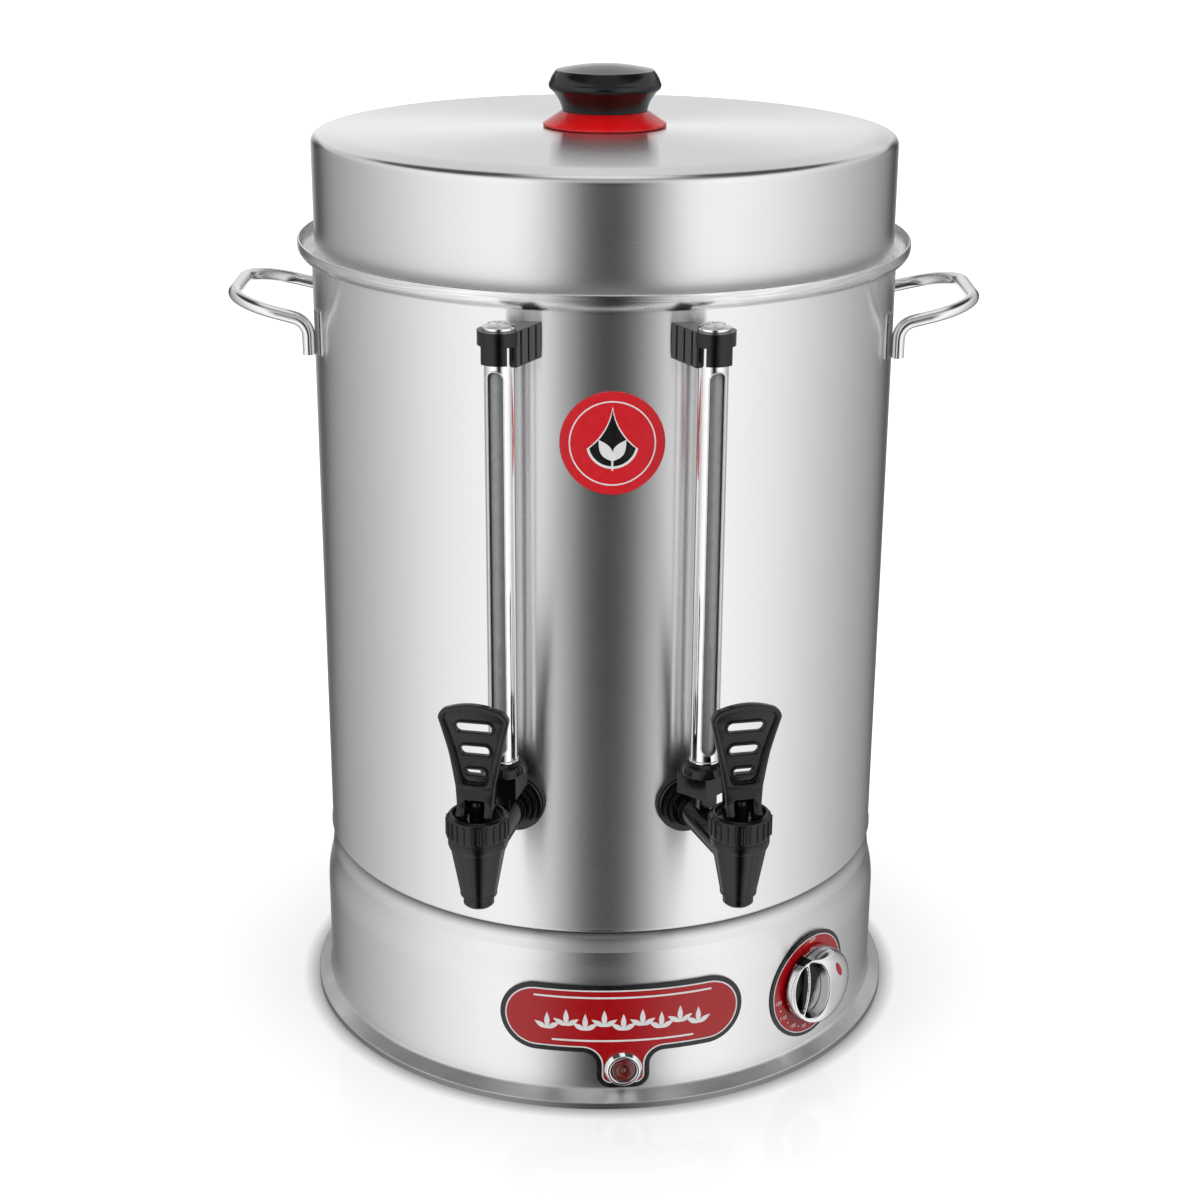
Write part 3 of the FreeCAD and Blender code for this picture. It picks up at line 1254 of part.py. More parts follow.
def control_knob():
    """Round knob with a slanting face to its left, where a thin ridge parts two scoops."""
    spot = radial(s.dial_azimuth, base_radius, s.dial_height)
    seat, skirt, high = plain(control_seat), plain(s.control_skirt), plain(s.control_high)
    edge, half, depth = plain(s.control_edge), plain(s.control_face), plain(s.control_scoop)
    face = ((-skirt * KNOB_FACE_LEFT, edge * KNOB_FACE_LOW), (-skirt * KNOB_FACE_RIGHT, high))
    shoulder = ((-skirt * KNOB_SHOULDER_LEFT, edge * KNOB_SHOULDER_LOW),
                (skirt * KNOB_SHOULDER_RIGHT, high * KNOB_SHOULDER_HIGH))
    rings = [knob_ring((-skirt, 0), (skirt, 0), skirt, seat),
             knob_ring((-skirt, edge), (skirt, edge), skirt, seat),
             knob_ring(*shoulder, skirt * KNOB_SHOULDER_LEFT, seat), knob_ring(*face, half, seat)]
    blank = Part.makeLoft(rings, True, True)
    pocket = Part.makeLoft([knob_ring(*face, half, seat + depth, SCOOP_TOP * 2 - SCOOP_LOW),
                            knob_ring(*face, half, seat - depth, SCOOP_LOW)], True, True)
    ridge = Part.makeBox(plain(s.control_blade) * 2, high * 2, half * 4)
    ridge.translate(Vector(-skirt * KNOB_RIDGE - plain(s.control_blade), -high * 2, -half * 2))
    outward = Vector(0, -1, 0)
    hole = Part.makeCylinder(plain(s.shaft_radius + s.pin_play), plain(control_socket + s.fit_gap),
                             outward * (seat - plain(s.fit_gap)), outward)
    node(shaped("control_knob_solid", blank.cut(pocket.cut(ridge)).cut(hole), spot), "control_knob")


def lamp():
    spot = radial(s.plate_azimuth, base_radius, s.lamp_height)
    front = plain(s.label_thick + s.fit_gap * 2)
    bezel = turned("lamp_bezel", [
        (s.lamp_body_radius - s.sheet_wall, 0), (s.lamp_radius, 0),
        (s.lamp_radius, s.sheet_wall * 1.4), (s.lamp_radius - s.sheet_wall * 2.4, s.sheet_wall * 3.4),
        (s.lamp_body_radius + s.sheet_wall * 0.6, s.sheet_wall * 3.4),
        (s.lamp_body_radius - s.sheet_wall, s.sheet_wall * 2)])
    bezel.Placement = spot.multiply(place(y=-front, turn=TO_FRONT))
    node(bezel, "lamp_bezel")
    glass = s.lamp_body_radius - s.sheet_wall * 1.3
    edge, rise = s.sheet_wall * 2.6, s.sheet_wall * 1.8
    lens = turned("lamp_lens", [
        (0, 0), (glass, 0), (glass, edge, dome_radius(glass, rise), 1), (0, edge + rise)])
    lens.Placement = spot.multiply(place(y=-front, turn=TO_FRONT))
    node(lens, "lamp_lens")
    case = cylinder("lamp_case", s.lamp_body_radius, LAMP_DEPTH,
                    spot.multiply(place(y=-front, turn=TO_BACK)))
    nut = hex_nut("lamp_nut_blank", s.lamp_body_radius * 1.35, s.lamp_body_radius + s.pin_play,
                  s.sheet_wall * 2)
    nut.Placement = spot.multiply(place(y=plain(s.sheet_wall) * 1.6, turn=TO_BACK))
    node(group("lamp_body_set", (case, [Placement()]), (nut, [Placement()])), "lamp_body")


def cable_gland():
    spot = radial(BACK_AZIMUTH, base_radius, s.gland_height)
    head = s.gland_radius * 1.35
    outer = turned("cable_gland", [
        (s.gland_bore, -GLAND_INSIDE), (s.gland_radius, -GLAND_INSIDE), (s.gland_radius, s.fit_gap),
        (head, s.fit_gap), (head, GLAND_FLANGE), (s.gland_radius, GLAND_FLANGE),
        (s.gland_radius, GLAND_OUTSIDE - GLAND_FLANGE, GLAND_ROUND, 1),
        (s.gland_bore + s.sheet_wall, GLAND_OUTSIDE), (s.gland_bore, GLAND_OUTSIDE)])
    outer.Placement = spot.multiply(place(turn=TO_FRONT))
    node(outer, "cable_gland")
    nut = hex_nut("gland_nut_blank", head, s.gland_radius + s.pin_play, s.sheet_wall * 4)
    nut.Placement = spot.multiply(place(y=plain(s.sheet_wall) * 1.8, turn=TO_BACK))
    node(nut, "gland_nut")


# Heater and wiring

def heater():
    leg, back = plain(s.heater_leg), plain(s.heater_back)
    half = plain(s.heater_half)
    high = plain(tank_floor_top + s.heater_lift)
    low = plain(base_top) - HEATER_TAIL
    points = [
        (-leg, back, low), (-leg, back, high), (-half, back * 0.6, high), (-half, -half, high),
        (half, -half, high), (half, back * 0.6, high), (leg, back, high), (leg, back, low)]
    loop = rod(points, HEATER_BENDS, plain(s.heater_rod))
    node(shaped("heating_loop", loop), "heating_element")
    gland = turned("heater_gland", [
        (s.heater_rod + s.pin_play * 2, -GLAND_SHANK_LONG), (gland_shank, -GLAND_SHANK_LONG),
        (gland_shank, 0), (gland_shank * 1.6, 0), (gland_shank * 1.6, s.sheet_wall * 3),
        (s.heater_rod + s.pin_play * 2, s.sheet_wall * 3)])
    above = [place(x, back, plain(tank_floor_top)) for x in (-leg, leg)]
    nut = hex_nut("heater_nut", gland_shank * 1.5, gland_shank + s.pin_play, s.sheet_wall * 4)
    nut_low = plain(tank_floor_top - s.sheet_wall * 5 - s.pin_play)
    under = [place(x, back, nut_low) for x in (-leg, leg)]
    node(group("heater_gland_set", (gland, above), (nut, under)), "heater_glands")


def wiring():
    """Terminal block on the base plate and the wires from it."""
    high = TERMINAL_HIGH
    block = box("terminal_blank", TERMINAL_LONG, TERMINAL_DEEP, high,
                place(-TERMINAL_LONG / 2, TERMINAL_BACK, plain(plate_top)))
    node(block, "terminal_block")
    top = plain(plate_top) + high
    low = plain(base_top) - HEATER_TAIL
    radius = plain(s.wire_radius)
    leg, back = plain(s.heater_leg), plain(s.heater_back)
    middle = TERMINAL_BACK + TERMINAL_DEEP / 2
    routes = []
    for x in (-leg, leg):
        arch = top + HEATER_WIRE_RISE
        routes.append([(x / 2, middle, top), (x / 2, middle, arch), (x, back, arch), (x, back, low)])
    spot = radial(s.dial_azimuth, base_radius, s.dial_height)
    rear = plain(s.sheet_wall) + THERMOSTAT_STANDOFF + plain(s.thermostat_depth)
    end = spot.multVec(Vector(0, rear, -WIRE_LOW))
    near = spot.multVec(Vector(0, rear + WIRE_RUN, -WIRE_LOW))
    start = (OUTER_TERMINAL, middle, top)
    routes.append([start, (OUTER_TERMINAL, middle, near.z), tuple(near), tuple(end)])
    lamp_spot = radial(s.plate_azimuth, base_radius, s.lamp_height)
    lamp_rear = LAMP_DEPTH - plain(s.label_thick + s.fit_gap * 2)
    lamp_end = lamp_spot.multVec(Vector(0, lamp_rear, 0))
    lamp_near = lamp_spot.multVec(Vector(0, lamp_rear + WIRE_RUN * 2, 0))
    above = top + LAMP_WIRE_RISE
    routes.append([(-OUTER_TERMINAL, middle, top), (-OUTER_TERMINAL, middle, above),
                   (lamp_near.x - LAMP_WIRE_SIDE, lamp_near.y + WIRE_RUN, above),
                   tuple(lamp_near), tuple(lamp_end)])
    wires = [rod(route, wire_bends(route), radius) for route in routes]
    node(shaped("wire_set", Part.makeCompound(wires)), "inner_wires")


def wire_bends(route):
    """The largest bend at each corner that its two runs allow."""
    bends = []
    for index in range(1, len(route) - 1):
        corner = Vector(*route[index])
        back = Vector(*route[index - 1]) - corner
        ahead = Vector(*route[index + 1]) - corner
        run = min(back.Length, ahead.Length)
        turn = math.pi - back.getAngle(ahead)
        bends.append(0.45 * run / math.tan(turn / 2))
    return bends


def build():
    tank_shell()
    tank_floor()
    collar_ring()
    base_housing()
    base_plate()
    tie_brackets()
    rubber_feet()
    handle(LEFT)
    handle(RIGHT)
    handle_pads()
    lid_shell()
    lid_knob()
    brew_pot()
    filter_basket()
    tea_pipe()
    for side in (LEFT, RIGHT):
        tap_body(side)
        tap_seals(side)
        tap_nut(side)
        tap_stem(side)
        tap_lever(side)
        gauge_socket(side)
        gauge_glass(side)
        gauge_bracket(side)
    round_label()
    name_plate()
    dial_plate()
    thermostat()
    control_knob()
    lamp()
    cable_gland()
    heater()
    wiring()


def check_and_write():
    doc.recompute()
    for thing in doc.Objects:
        if "Invalid" in thing.State or "Error" in thing.State:
            raise RuntimeError("%s failed: %s" % (thing.Name, thing.State))
    for label, thing in nodes.items():
        if thing.Shape.isNull() or not thing.Shape.isValid():
            raise RuntimeError(label + " has no valid shape")
    os.makedirs("parts", exist_ok=True)
    for label, thing in nodes.items():
        thing.Shape.exportStep("parts/%s.step" % label)


build()
check_and_write()
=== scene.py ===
from math import asin, atan2, ceil, cos, degrees, hypot, pi, radians, sin, sqrt, tan

import bmesh
import bpy
from mathutils import Matrix, Vector


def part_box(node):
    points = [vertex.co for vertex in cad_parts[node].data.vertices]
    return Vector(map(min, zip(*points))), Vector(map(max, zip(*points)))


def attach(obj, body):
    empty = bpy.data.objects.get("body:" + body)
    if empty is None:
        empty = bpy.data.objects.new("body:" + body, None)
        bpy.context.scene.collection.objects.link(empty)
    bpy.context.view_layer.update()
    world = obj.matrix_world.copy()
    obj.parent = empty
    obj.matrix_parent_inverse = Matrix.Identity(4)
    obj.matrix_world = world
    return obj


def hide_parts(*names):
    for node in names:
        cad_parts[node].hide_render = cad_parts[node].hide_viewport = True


# A tea urn's visible pieces, their finishes and a plain studio.
# Shapes are written in millimetres in the row frame, and turned into metres when their mesh is made.

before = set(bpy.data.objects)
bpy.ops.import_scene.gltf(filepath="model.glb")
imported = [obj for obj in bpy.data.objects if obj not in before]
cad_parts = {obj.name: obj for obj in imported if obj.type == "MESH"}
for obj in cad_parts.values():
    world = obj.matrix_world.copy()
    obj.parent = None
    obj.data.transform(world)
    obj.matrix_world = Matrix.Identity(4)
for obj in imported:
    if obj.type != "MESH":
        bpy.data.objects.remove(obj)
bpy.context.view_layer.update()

MM = 0.001
LEFT, RIGHT = "left", "right"

# Places and sizes that the visible pieces share with the frame
SHEET = 1
BODY_RADIUS = 160
BASE_RADIUS = 163.6
FOOT_RADIUS = 171.5
SHELL_LOW = 103
SHELL_TOP = 438.5
LEDGE_BORE = 146
LID_RADIUS = 158.4
LID_LOW = 439.8
LID_HOLE = 3.2
KNOB_SEAT = 506.3
KNOB_WAIST = 514.5
TAP_HEIGHT = 177
TAP_AZIMUTH = {LEFT: -16, RIGHT: 16}
ARM_AZIMUTH = {LEFT: -16.6, RIGHT: 25.5}
PADDLE_AZIMUTH = {LEFT: -11, RIGHT: 12}
TAP_REACH = 60
GAUGE_OUT = 21
PIN_HEIGHT = 197.9
NUT_RIBS, SOCKET_RIBS = 24, 8
DIAL_AZIMUTH, DIAL_HEIGHT = 46.3, 45.9
PLATE_AZIMUTH, LAMP_HEIGHT = 4.6, 21.2
BADGE_AZIMUTH, BADGE_HEIGHT = 1.7, 373

# The photograph's camera, in metres and degrees
CAMERA_DISTANCE = 1.2132
CAMERA_HEIGHT = 0.6689
CAMERA_PITCH = 19.745
CAMERA_ROLL = 0.333
CAMERA_YAW = -0.051
CAMERA_LENS = 66.375
CAMERA_SENSOR = 36


# Outlines

# The longest share of an edge that a rounded corner takes, and the smallest length that counts
ALMOST_HALF, SMALL = 0.499, 1e-4


def arc(first, last, radius, side, step=6):
    """Points from first towards last on an arc. Side 1 puts its centre on the left of the way."""
    x0, y0 = first
    x1, y1 = last
    chord = hypot(x1 - x0, y1 - y0)
    rise = sqrt(max(radius * radius - chord * chord / 4, 0))
    mid_x, mid_y = (x0 + x1) / 2, (y0 + y1) / 2
    cx = mid_x - (y1 - y0) / chord * rise * side
    cy = mid_y + (x1 - x0) / chord * rise * side
    start = atan2(y0 - cy, x0 - cx)
    sweep = 2 * asin(min(chord / 2 / radius, 1)) * side
    count = max(2, ceil(abs(degrees(sweep)) / step))
    turns = [start + sweep * k / count for k in range(count)]
    return [(cx + radius * cos(turn), cy + radius * sin(turn)) for turn in turns]


def path(*entries, closed=True, step=6):
    """Points along a path. An entry is (x, y), or (x, y, radius, side) where an arc starts."""
    points = []
    for index, entry in enumerate(entries):
        last = entries[(index + 1) % len(entries)]
        if len(entry) == 4 and (closed or index < len(entries) - 1):
            points += arc(entry[:2], last[:2], entry[2], entry[3], step)
        else:
            points.append(entry[:2])
    return points


def rounded(*corners, step=10):
    """Points round an outline whose corners (x, y, radius) are rounded off."""
    points = []
    for index, corner in enumerate(corners):
        if len(corner) == 2:
            points.append(corner)
            continue
        x, y, radius = corner
        here = Vector((x, y))
        way_in = Vector(corners[index - 1][:2]) - here
        way_out = Vector(corners[(index + 1) % len(corners)][:2]) - here
        half_turn = way_in.angle(way_out) / 2
        back = min(radius / tan(half_turn), way_in.length * ALMOST_HALF, way_out.length * ALMOST_HALF)
        reach = back * tan(half_turn)
        first, last = here + way_in.normalized() * back, here + way_out.normalized() * back
        side = 1 if way_in.cross(way_out) < 0 else -1
        points += arc(tuple(first), tuple(last), max(reach, SMALL), side, step)
        points.append(tuple(last))
    return points


def oblong(half_wide, half_high, x=0, y=0, step=10):
    """A slot with round ends that lies along x, or along y where it is higher than wide."""
    run, end = abs(half_wide - half_high), min(half_wide, half_high)
    if half_wide >= half_high:
        return path((x + run, y - end, end, 1), (x + run, y + end),
                    (x - run, y + end, end, 1), (x - run, y - end), step=step)
    return path((x - end, y - run, end, 1), (x + end, y - run),
                (x + end, y + run, end, 1), (x - end, y + run), step=step)


def disc(radius, x=0, y=0, count=72):
    turns = [2 * pi * k / count for k in range(count)]
    return [(x + radius * cos(turn), y + radius * sin(turn)) for turn in turns]


# Meshes, in millimetres until they become pieces

def turned(profile, steps=256):
    """A body turned round Z from the (radius, height) points of a closed outline."""
    shape = bmesh.new()
    rings = []
    for radius, height in profile:
        ring = disc(radius, count=steps) if radius > SMALL else [(0, 0)]
        rings.append([shape.verts.new((x, y, height)) for x, y in ring])
    for low, high in zip(rings, rings[1:] + rings[:1]):
        if len(low) == 1 and len(high) == 1:
            continue
        for k in range(steps):
            after = (k + 1) % steps
            corners = [low[k % len(low)], low[after % len(low)],
                       high[after % len(high)], high[k % len(high)]]
            shape.faces.new(list(dict.fromkeys(corners)))
    return outward(shape)


def outward(shape):
    """Turn every face of a mesh to its outside."""
    bmesh.ops.recalc_face_normals(shape, faces=shape.faces)
    return shape


def given(thing, **settings):
    """Set a thing's properties and return it."""
    for name, value in settings.items():
        setattr(thing, name, value)
    return thing


def add_line(curve, points, closed):
    line = curve.splines.new("POLY")
    line.points.add(len(points) - 1)
    for point, place in zip(line.points, points):
        point.co = (*place, 1)
    line.use_cyclic_u = closed


def meshed(curve):
    """The mesh of a curve, which is then removed."""
    holder = bpy.data.objects.new(curve.name, curve)
    mesh = bpy.data.meshes.new_from_object(holder)
    shape = bmesh.new()
    shape.from_mesh(mesh)
    bpy.data.objects.remove(holder)
    bpy.data.meshes.remove(mesh)
    bpy.data.curves.remove(curve)
    return shape


def upright(shape, back=0):
    """Stand a mesh up from the XY plane into the XZ plane, with its upper side outwards."""
    for vertex in shape.verts:
        x, y, z = vertex.co
        vertex.co = (x, -z - back, y)
    return shape


def plate(outlines, thick, edge=0, rings=3):
    """A flat piece with holes in the XZ plane, whose thickness runs from y 0 outwards to -thick."""
    curve = given(bpy.data.curves.new("plate", "CURVE"), dimensions="2D", fill_mode="BOTH",
                  extrude=max(thick / 2 - edge, 0), bevel_depth=edge, bevel_resolution=rings, offset=-edge)
    for points in outlines:
        add_line(curve, [(x, y, 0) for x, y in points], True)
    shape = upright(meshed(curve), thick / 2)
    bmesh.ops.remove_doubles(shape, verts=shape.verts, dist=1e-4)
    return outward(shape)


def tube(points, radius, closed=False, sides=12):
    """A round wire along points."""
    curve = given(bpy.data.curves.new("tube", "CURVE"), dimensions="3D", bevel_depth=radius,
                  bevel_resolution=sides // 4, use_fill_caps=True)
    add_line(curve, points, closed)
    return meshed(curve)


def lettering(words, size):
    """Flat text round the origin in the XZ plane."""
    return upright(meshed(given(bpy.data.curves.new("text", "FONT"), body=words, size=size,
                                align_x="CENTER", align_y="CENTER", extrude=0.02)))


def moved(shape, matrix):
    bmesh.ops.transform(shape, matrix=matrix, verts=shape.verts)
    return shape


def sliced(shape, axis, low, high, step):
    """Cut a mesh across an axis, so that it can bend."""
    normal = Vector([float(index == axis) for index in range(3)])
    place = low
    while place < high:
        everything = shape.verts[:] + shape.edges[:] + shape.faces[:]
        bmesh.ops.bisect_plane(shape, geom=everything, plane_co=normal * place, plane_no=normal)
        place += step
    return shape


def wrapped(shape, radius, azimuth, step=3):
    """Bend a flat mesh in the XZ plane onto a wall round Z. Its -Y side faces outwards."""
    reach = max(abs(vertex.co.x) for vertex in shape.verts)
    sliced(shape, 0, -reach + step, reach, step)
    for vertex in shape.verts:
        turn = radians(azimuth) + vertex.co.x / radius
        out = radius - vertex.co.y
        vertex.co = (out * sin(turn), -out * cos(turn), vertex.co.z)
    return shape


def radial(azimuth, distance, height):
    """A frame on a wall round the urn: X to the right, -Y outwards, Z up."""
    turn = radians(azimuth)
    return shift(distance * sin(turn), -distance * cos(turn), height) @ spin(azimuth)


def spin(turn, axis="Z"):
    return Matrix.Rotation(radians(turn), 4, axis)


def shift(x=0, y=0, z=0):
    return Matrix.Translation((x, y, z))


def tap_frame(side):
    """In the flange's middle on the shell, with -Y along the arm."""
    wall = radial(TAP_AZIMUTH[side], BODY_RADIUS, TAP_HEIGHT)
    return wall @ spin(ARM_AZIMUTH[side] - TAP_AZIMUTH[side])


def valve_frame(side):
    """On the valve's axis at the floor's height, with -Y along the arm."""
    return tap_frame(side) @ shift(y=-TAP_REACH, z=-TAP_HEIGHT)


def gauge_frame(side):
    """On the gauge's axis at the floor's height, turned towards the urn's axis."""
    place = (tap_frame(side) @ shift(y=-GAUGE_OUT)).translation
    azimuth = degrees(atan2(place.x, -place.y))
    return radial(azimuth, hypot(place.x, place.y), 0)


def paddle_frame(side):
    """On the lever's pin, with -Y out of the paddle's face."""
    place = valve_frame(side).translation
    return shift(place.x, place.y, PIN_HEIGHT) @ spin(PADDLE_AZIMUTH[side])


def piece(name, shapes, finish, body="root", node=None, smooth=35, at=None):
    """One visible piece from a mesh or several, in millimetres. Node is the frame's node it replaces."""
    mesh = bpy.data.meshes.new(name)
    whole = bmesh.new()
    for shape in (shapes if isinstance(shapes, list) else [shapes]):
        part = bpy.data.meshes.new("part")
        shape.to_mesh(part)
        shape.free()
        whole.from_mesh(part)
        bpy.data.meshes.remove(part)
    if at is not None:
        moved(whole, at)
    bmesh.ops.scale(whole, vec=(MM, MM, MM), verts=whole.verts)
    whole.to_mesh(mesh)
    whole.free()
    mesh.shade_smooth()
    mesh.set_sharp_from_angle(angle=radians(smooth))
    mesh.materials.append(finish)
    thing = placed(name, mesh)
    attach(thing, body)
    if node:
        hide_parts(node)


# Node materials

# Ranges of a noise, where a finish goes from its first value to its second
WIDE, CRISP, TIGHT = (0.2, 0.8), (0.3, 0.7), (0.35, 0.65)
GRAIN_SCALE, GRAIN_STRETCH, GRAIN_RELIEF = 2400, 0.05, 0.0000002
# Heights in metres over which a finish changes; the shaded bands are where painted shade fades in
SHADED_HEM_BAND, FLARE_BAND, SHADED_GROOVE_BAND = (0.0030, 0.0036), (0.0076, 0.0092), (0.0935, 0.1)
SHOULDER_BAND = (0.4985, 0.501)


def grey(tone, blue=0.005):
    """Steel's colour: grey, with a breath of blue."""
    return (tone, tone, tone + blue)


class Finish:
    """A procedural material with short ways to add its nodes."""

    def __init__(self, name, **settings):
        self.material = bpy.data.materials.new(name)
        self.material.use_nodes = True
        self.tree = self.material.node_tree
        self.shader = self.tree.nodes["Principled BSDF"]
        self.set(**settings)

    def give(self, socket, value):
        """Link a socket, or set it to a number or a colour. None leaves it alone."""
        if isinstance(value, bpy.types.NodeSocket):
            self.tree.links.new(value, socket)
        elif isinstance(value, tuple):
            socket.default_value = (*value, 1)
        elif value is not None:
            socket.default_value = value

    def set(self, **settings):
        """Set the shader's sockets and return the material. Base_Color stands for Base Color."""
        for name, value in settings.items():
            self.give(self.shader.inputs[name.replace("_", " ")], value)
        return self.material

    def add(self, kind, *inputs, **settings):
        """A node whose inputs are given in order."""
        node = given(self.tree.nodes.new(kind), **settings)
        for socket, value in zip(node.inputs, inputs):
            self.give(socket, value)
        return node

    def show(self, node):
        """Let a shader node stand for the whole material."""
        self.give(self.tree.nodes["Material Output"].inputs["Surface"], node.outputs[0])

    def math(self, operation, *inputs):
        return self.add("ShaderNodeMath", *inputs, operation=operation).outputs[0]

    def plus(self, *inputs):
        return self.math("ADD", *inputs)

    def times(self, *inputs):
        return self.math("MULTIPLY", *inputs)

    def place(self):
        """The point in the row frame, in metres."""
        return self.add("ShaderNodeTexCoord").outputs["Object"]

    def axes(self):
        return self.add("ShaderNodeSeparateXYZ", self.place()).outputs[:3]

    def turn(self, x, y):
        """The angle round Z from the front, in radians."""
        return self.math("ARCTAN2", x, self.times(y, -1))

    def reach(self, x, y):
        """The distance from the Z axis."""
        return self.math("SQRT", self.plus(self.times(x, x), self.times(y, y)))

    def unrolled(self, along, up):
        """The point on an unrolled wall round Z, in metres, stretched by a factor for each way."""
        x, y, z = self.axes()
        arc_length = self.times(self.turn(x, y), BODY_RADIUS * MM * along)
        height = self.times(z, up)
        return self.add("ShaderNodeCombineXYZ", arc_length, self.reach(x, y), height).outputs[0]

    def noise(self, vector, scale, detail=2, roughness=0.5):
        node = self.add("ShaderNodeTexNoise", vector)
        for name, value in (("Scale", scale), ("Detail", detail), ("Roughness", roughness)):
            node.inputs[name].default_value = value
        return node.outputs[0]

    def span(self, value, low, high, to_low=0, to_high=1):
        """A value stretched from one range to another and clamped to it."""
        return self.add("ShaderNodeMapRange", value, low, high, to_low, to_high).outputs[0]

    def mix(self, factor, first, second):
        node = self.add("ShaderNodeMix", factor, data_type="RGBA")
        first_colour, second_colour = 6, 7
        self.give(node.inputs[first_colour], first)
        self.give(node.inputs[second_colour], second)
        return node.outputs[2]

    def bump(self, height, distance, edge=0):
        """Relief from a height. Edge, in metres, also softens the mesh's sharp edges."""
        node = self.add("ShaderNodeBump", 1, distance)
        self.give(node.inputs["Height"], height)
        if edge:
            soft = self.add("ShaderNodeBevel", edge, samples=6)
            self.give(node.inputs["Normal"], soft.outputs[0])
        self.set(Normal=node.outputs[0])

    def turned_grain(self, anisotropy=1):
        """Stretch the gloss across lines that run round the urn."""
        way = self.add("ShaderNodeTangent", direction_type="RADIAL", axis="Z")
        self.set(Tangent=way.outputs[0], Anisotropic=anisotropy, Anisotropic_Rotation=0.25)


def brushed(name, tones, grain_share, gloss, stretch=(0.35, 0.9), cloud_scale=14):
    """Bright sheet with a fine grain that runs round the urn and a soft, slightly uneven gloss.

    The colour and the roughness come back as sockets, for the finish's own marks."""
    finish = Finish(name, Metallic=1)
    grain = finish.noise(finish.unrolled(GRAIN_STRETCH, 1), GRAIN_SCALE, 3)
    cloud = finish.noise(finish.unrolled(*stretch), cloud_scale, 4, 0.6)
    dark, light, bright = tones
    tint = finish.mix(finish.span(cloud, *WIDE), dark, light)
    streaks = finish.times(finish.span(grain, *WIDE), grain_share)
    finish.bump(grain, GRAIN_RELIEF)
    finish.turned_grain()
    return finish, finish.mix(streaks, tint, bright), finish.span(cloud, *WIDE, *gloss)


def polished_steel():
    tones = (grey(0.788, 0), grey(0.816, 0), grey(0.832, 0))
    finish, colour, gloss = brushed("polished_steel", tones, 0.2, (0.258, 0.282))
    return finish.set(Base_Color=colour, Roughness=gloss)


def lid_steel():
    """The lid's sheet: a clearer gloss on its flat top and on the tight bend of its shoulder."""
    tones = (grey(0.785), grey(0.81), grey(0.83))
    finish, colour, gloss = brushed("lid_steel", tones, 0.3, (0.26, 0.285), (0.3, 1.2), 13)
    bend = finish.span(finish.axes()[2], *SHOULDER_BAND)
    clearer = finish.math("SUBTRACT", gloss, finish.times(bend, 0.1))
    return finish.set(Base_Color=colour, Roughness=clearer)


def collar_steel():
    """The collar's rougher band, with scratches that run round it."""
    finish = Finish("collar_steel", Metallic=1)
    strokes = finish.noise(finish.unrolled(0.03, 1), 1700, 4, 0.6)
    patches = finish.noise(finish.unrolled(0.25, 1), 110, 3)
    finish.bump(strokes, 0.00003)
    finish.turned_grain(0.7)
    return finish.set(Base_Color=finish.mix(finish.span(strokes, *TIGHT), grey(0.66, 0.01), grey(0.9)),
                      Roughness=finish.span(patches, *TIGHT, 0.22, 0.32))


def hem_steel():
    """The base's sheet: painted shade under the tank's edge, a worn flare and a rougher hem with painted
    shade at the ground.
    """
    tones = (grey(0.78), grey(0.81), grey(0.83))
    finish, sheet, gloss = brushed("hem_steel", tones, 0.3, (0.26, 0.285))
    height = finish.axes()[2]
    flare = finish.span(height, *FLARE_BAND, 1, 0)
    # Painted shade on the hem's face, for the dark floor it would reflect
    hem = finish.span(height, *SHADED_HEM_BAND, 1, 0)
    # Painted shade: darker up into the gap under the tank's lower edge
    groove_shade = finish.math("POWER", finish.span(height, *SHADED_GROOVE_BAND), 1.4)
    strokes = finish.noise(finish.unrolled(0.08, 1), 1500, 4, 0.6)
    patches = finish.noise(finish.unrolled(0.5, 1), 60, 3)
    worn = finish.times(flare, finish.span(strokes, *CRISP, 0.8, 1))
    mottle = finish.mix(finish.span(patches, *TIGHT), grey(0.6, 0.01), grey(0.8))
    # The hem's painted shade darkens the worn sheet to grey 0.34
    worn_and_shaded = finish.mix(hem, finish.mix(worn, sheet, mottle), grey(0.34))
    rougher = finish.plus(gloss, finish.times(worn, 0.08))
    # The gap's painted shade is nearly black
    return finish.set(Base_Color=finish.mix(groove_shade, worn_and_shaded, grey(0.015, 0)),
                      Roughness=finish.plus(rougher, finish.times(hem, 0.15)))


def mottled(name, scale, colours, gloss, detail=3, spread=None, relief=0, edge=0, **settings):
    """A finish whose colour and gloss both follow one soft noise.

    Spread is the noise's range that the colours use; without it they follow the noise as it is."""
    finish = Finish(name, **settings)
    cloud = finish.noise(finish.place(), scale, detail)
    share = finish.span(cloud, *spread) if spread else cloud
    if relief:
        finish.bump(cloud, relief, edge=edge)
    return finish.set(Base_Color=finish.mix(share, *colours), Roughness=finish.span(cloud, *CRISP, *gloss))


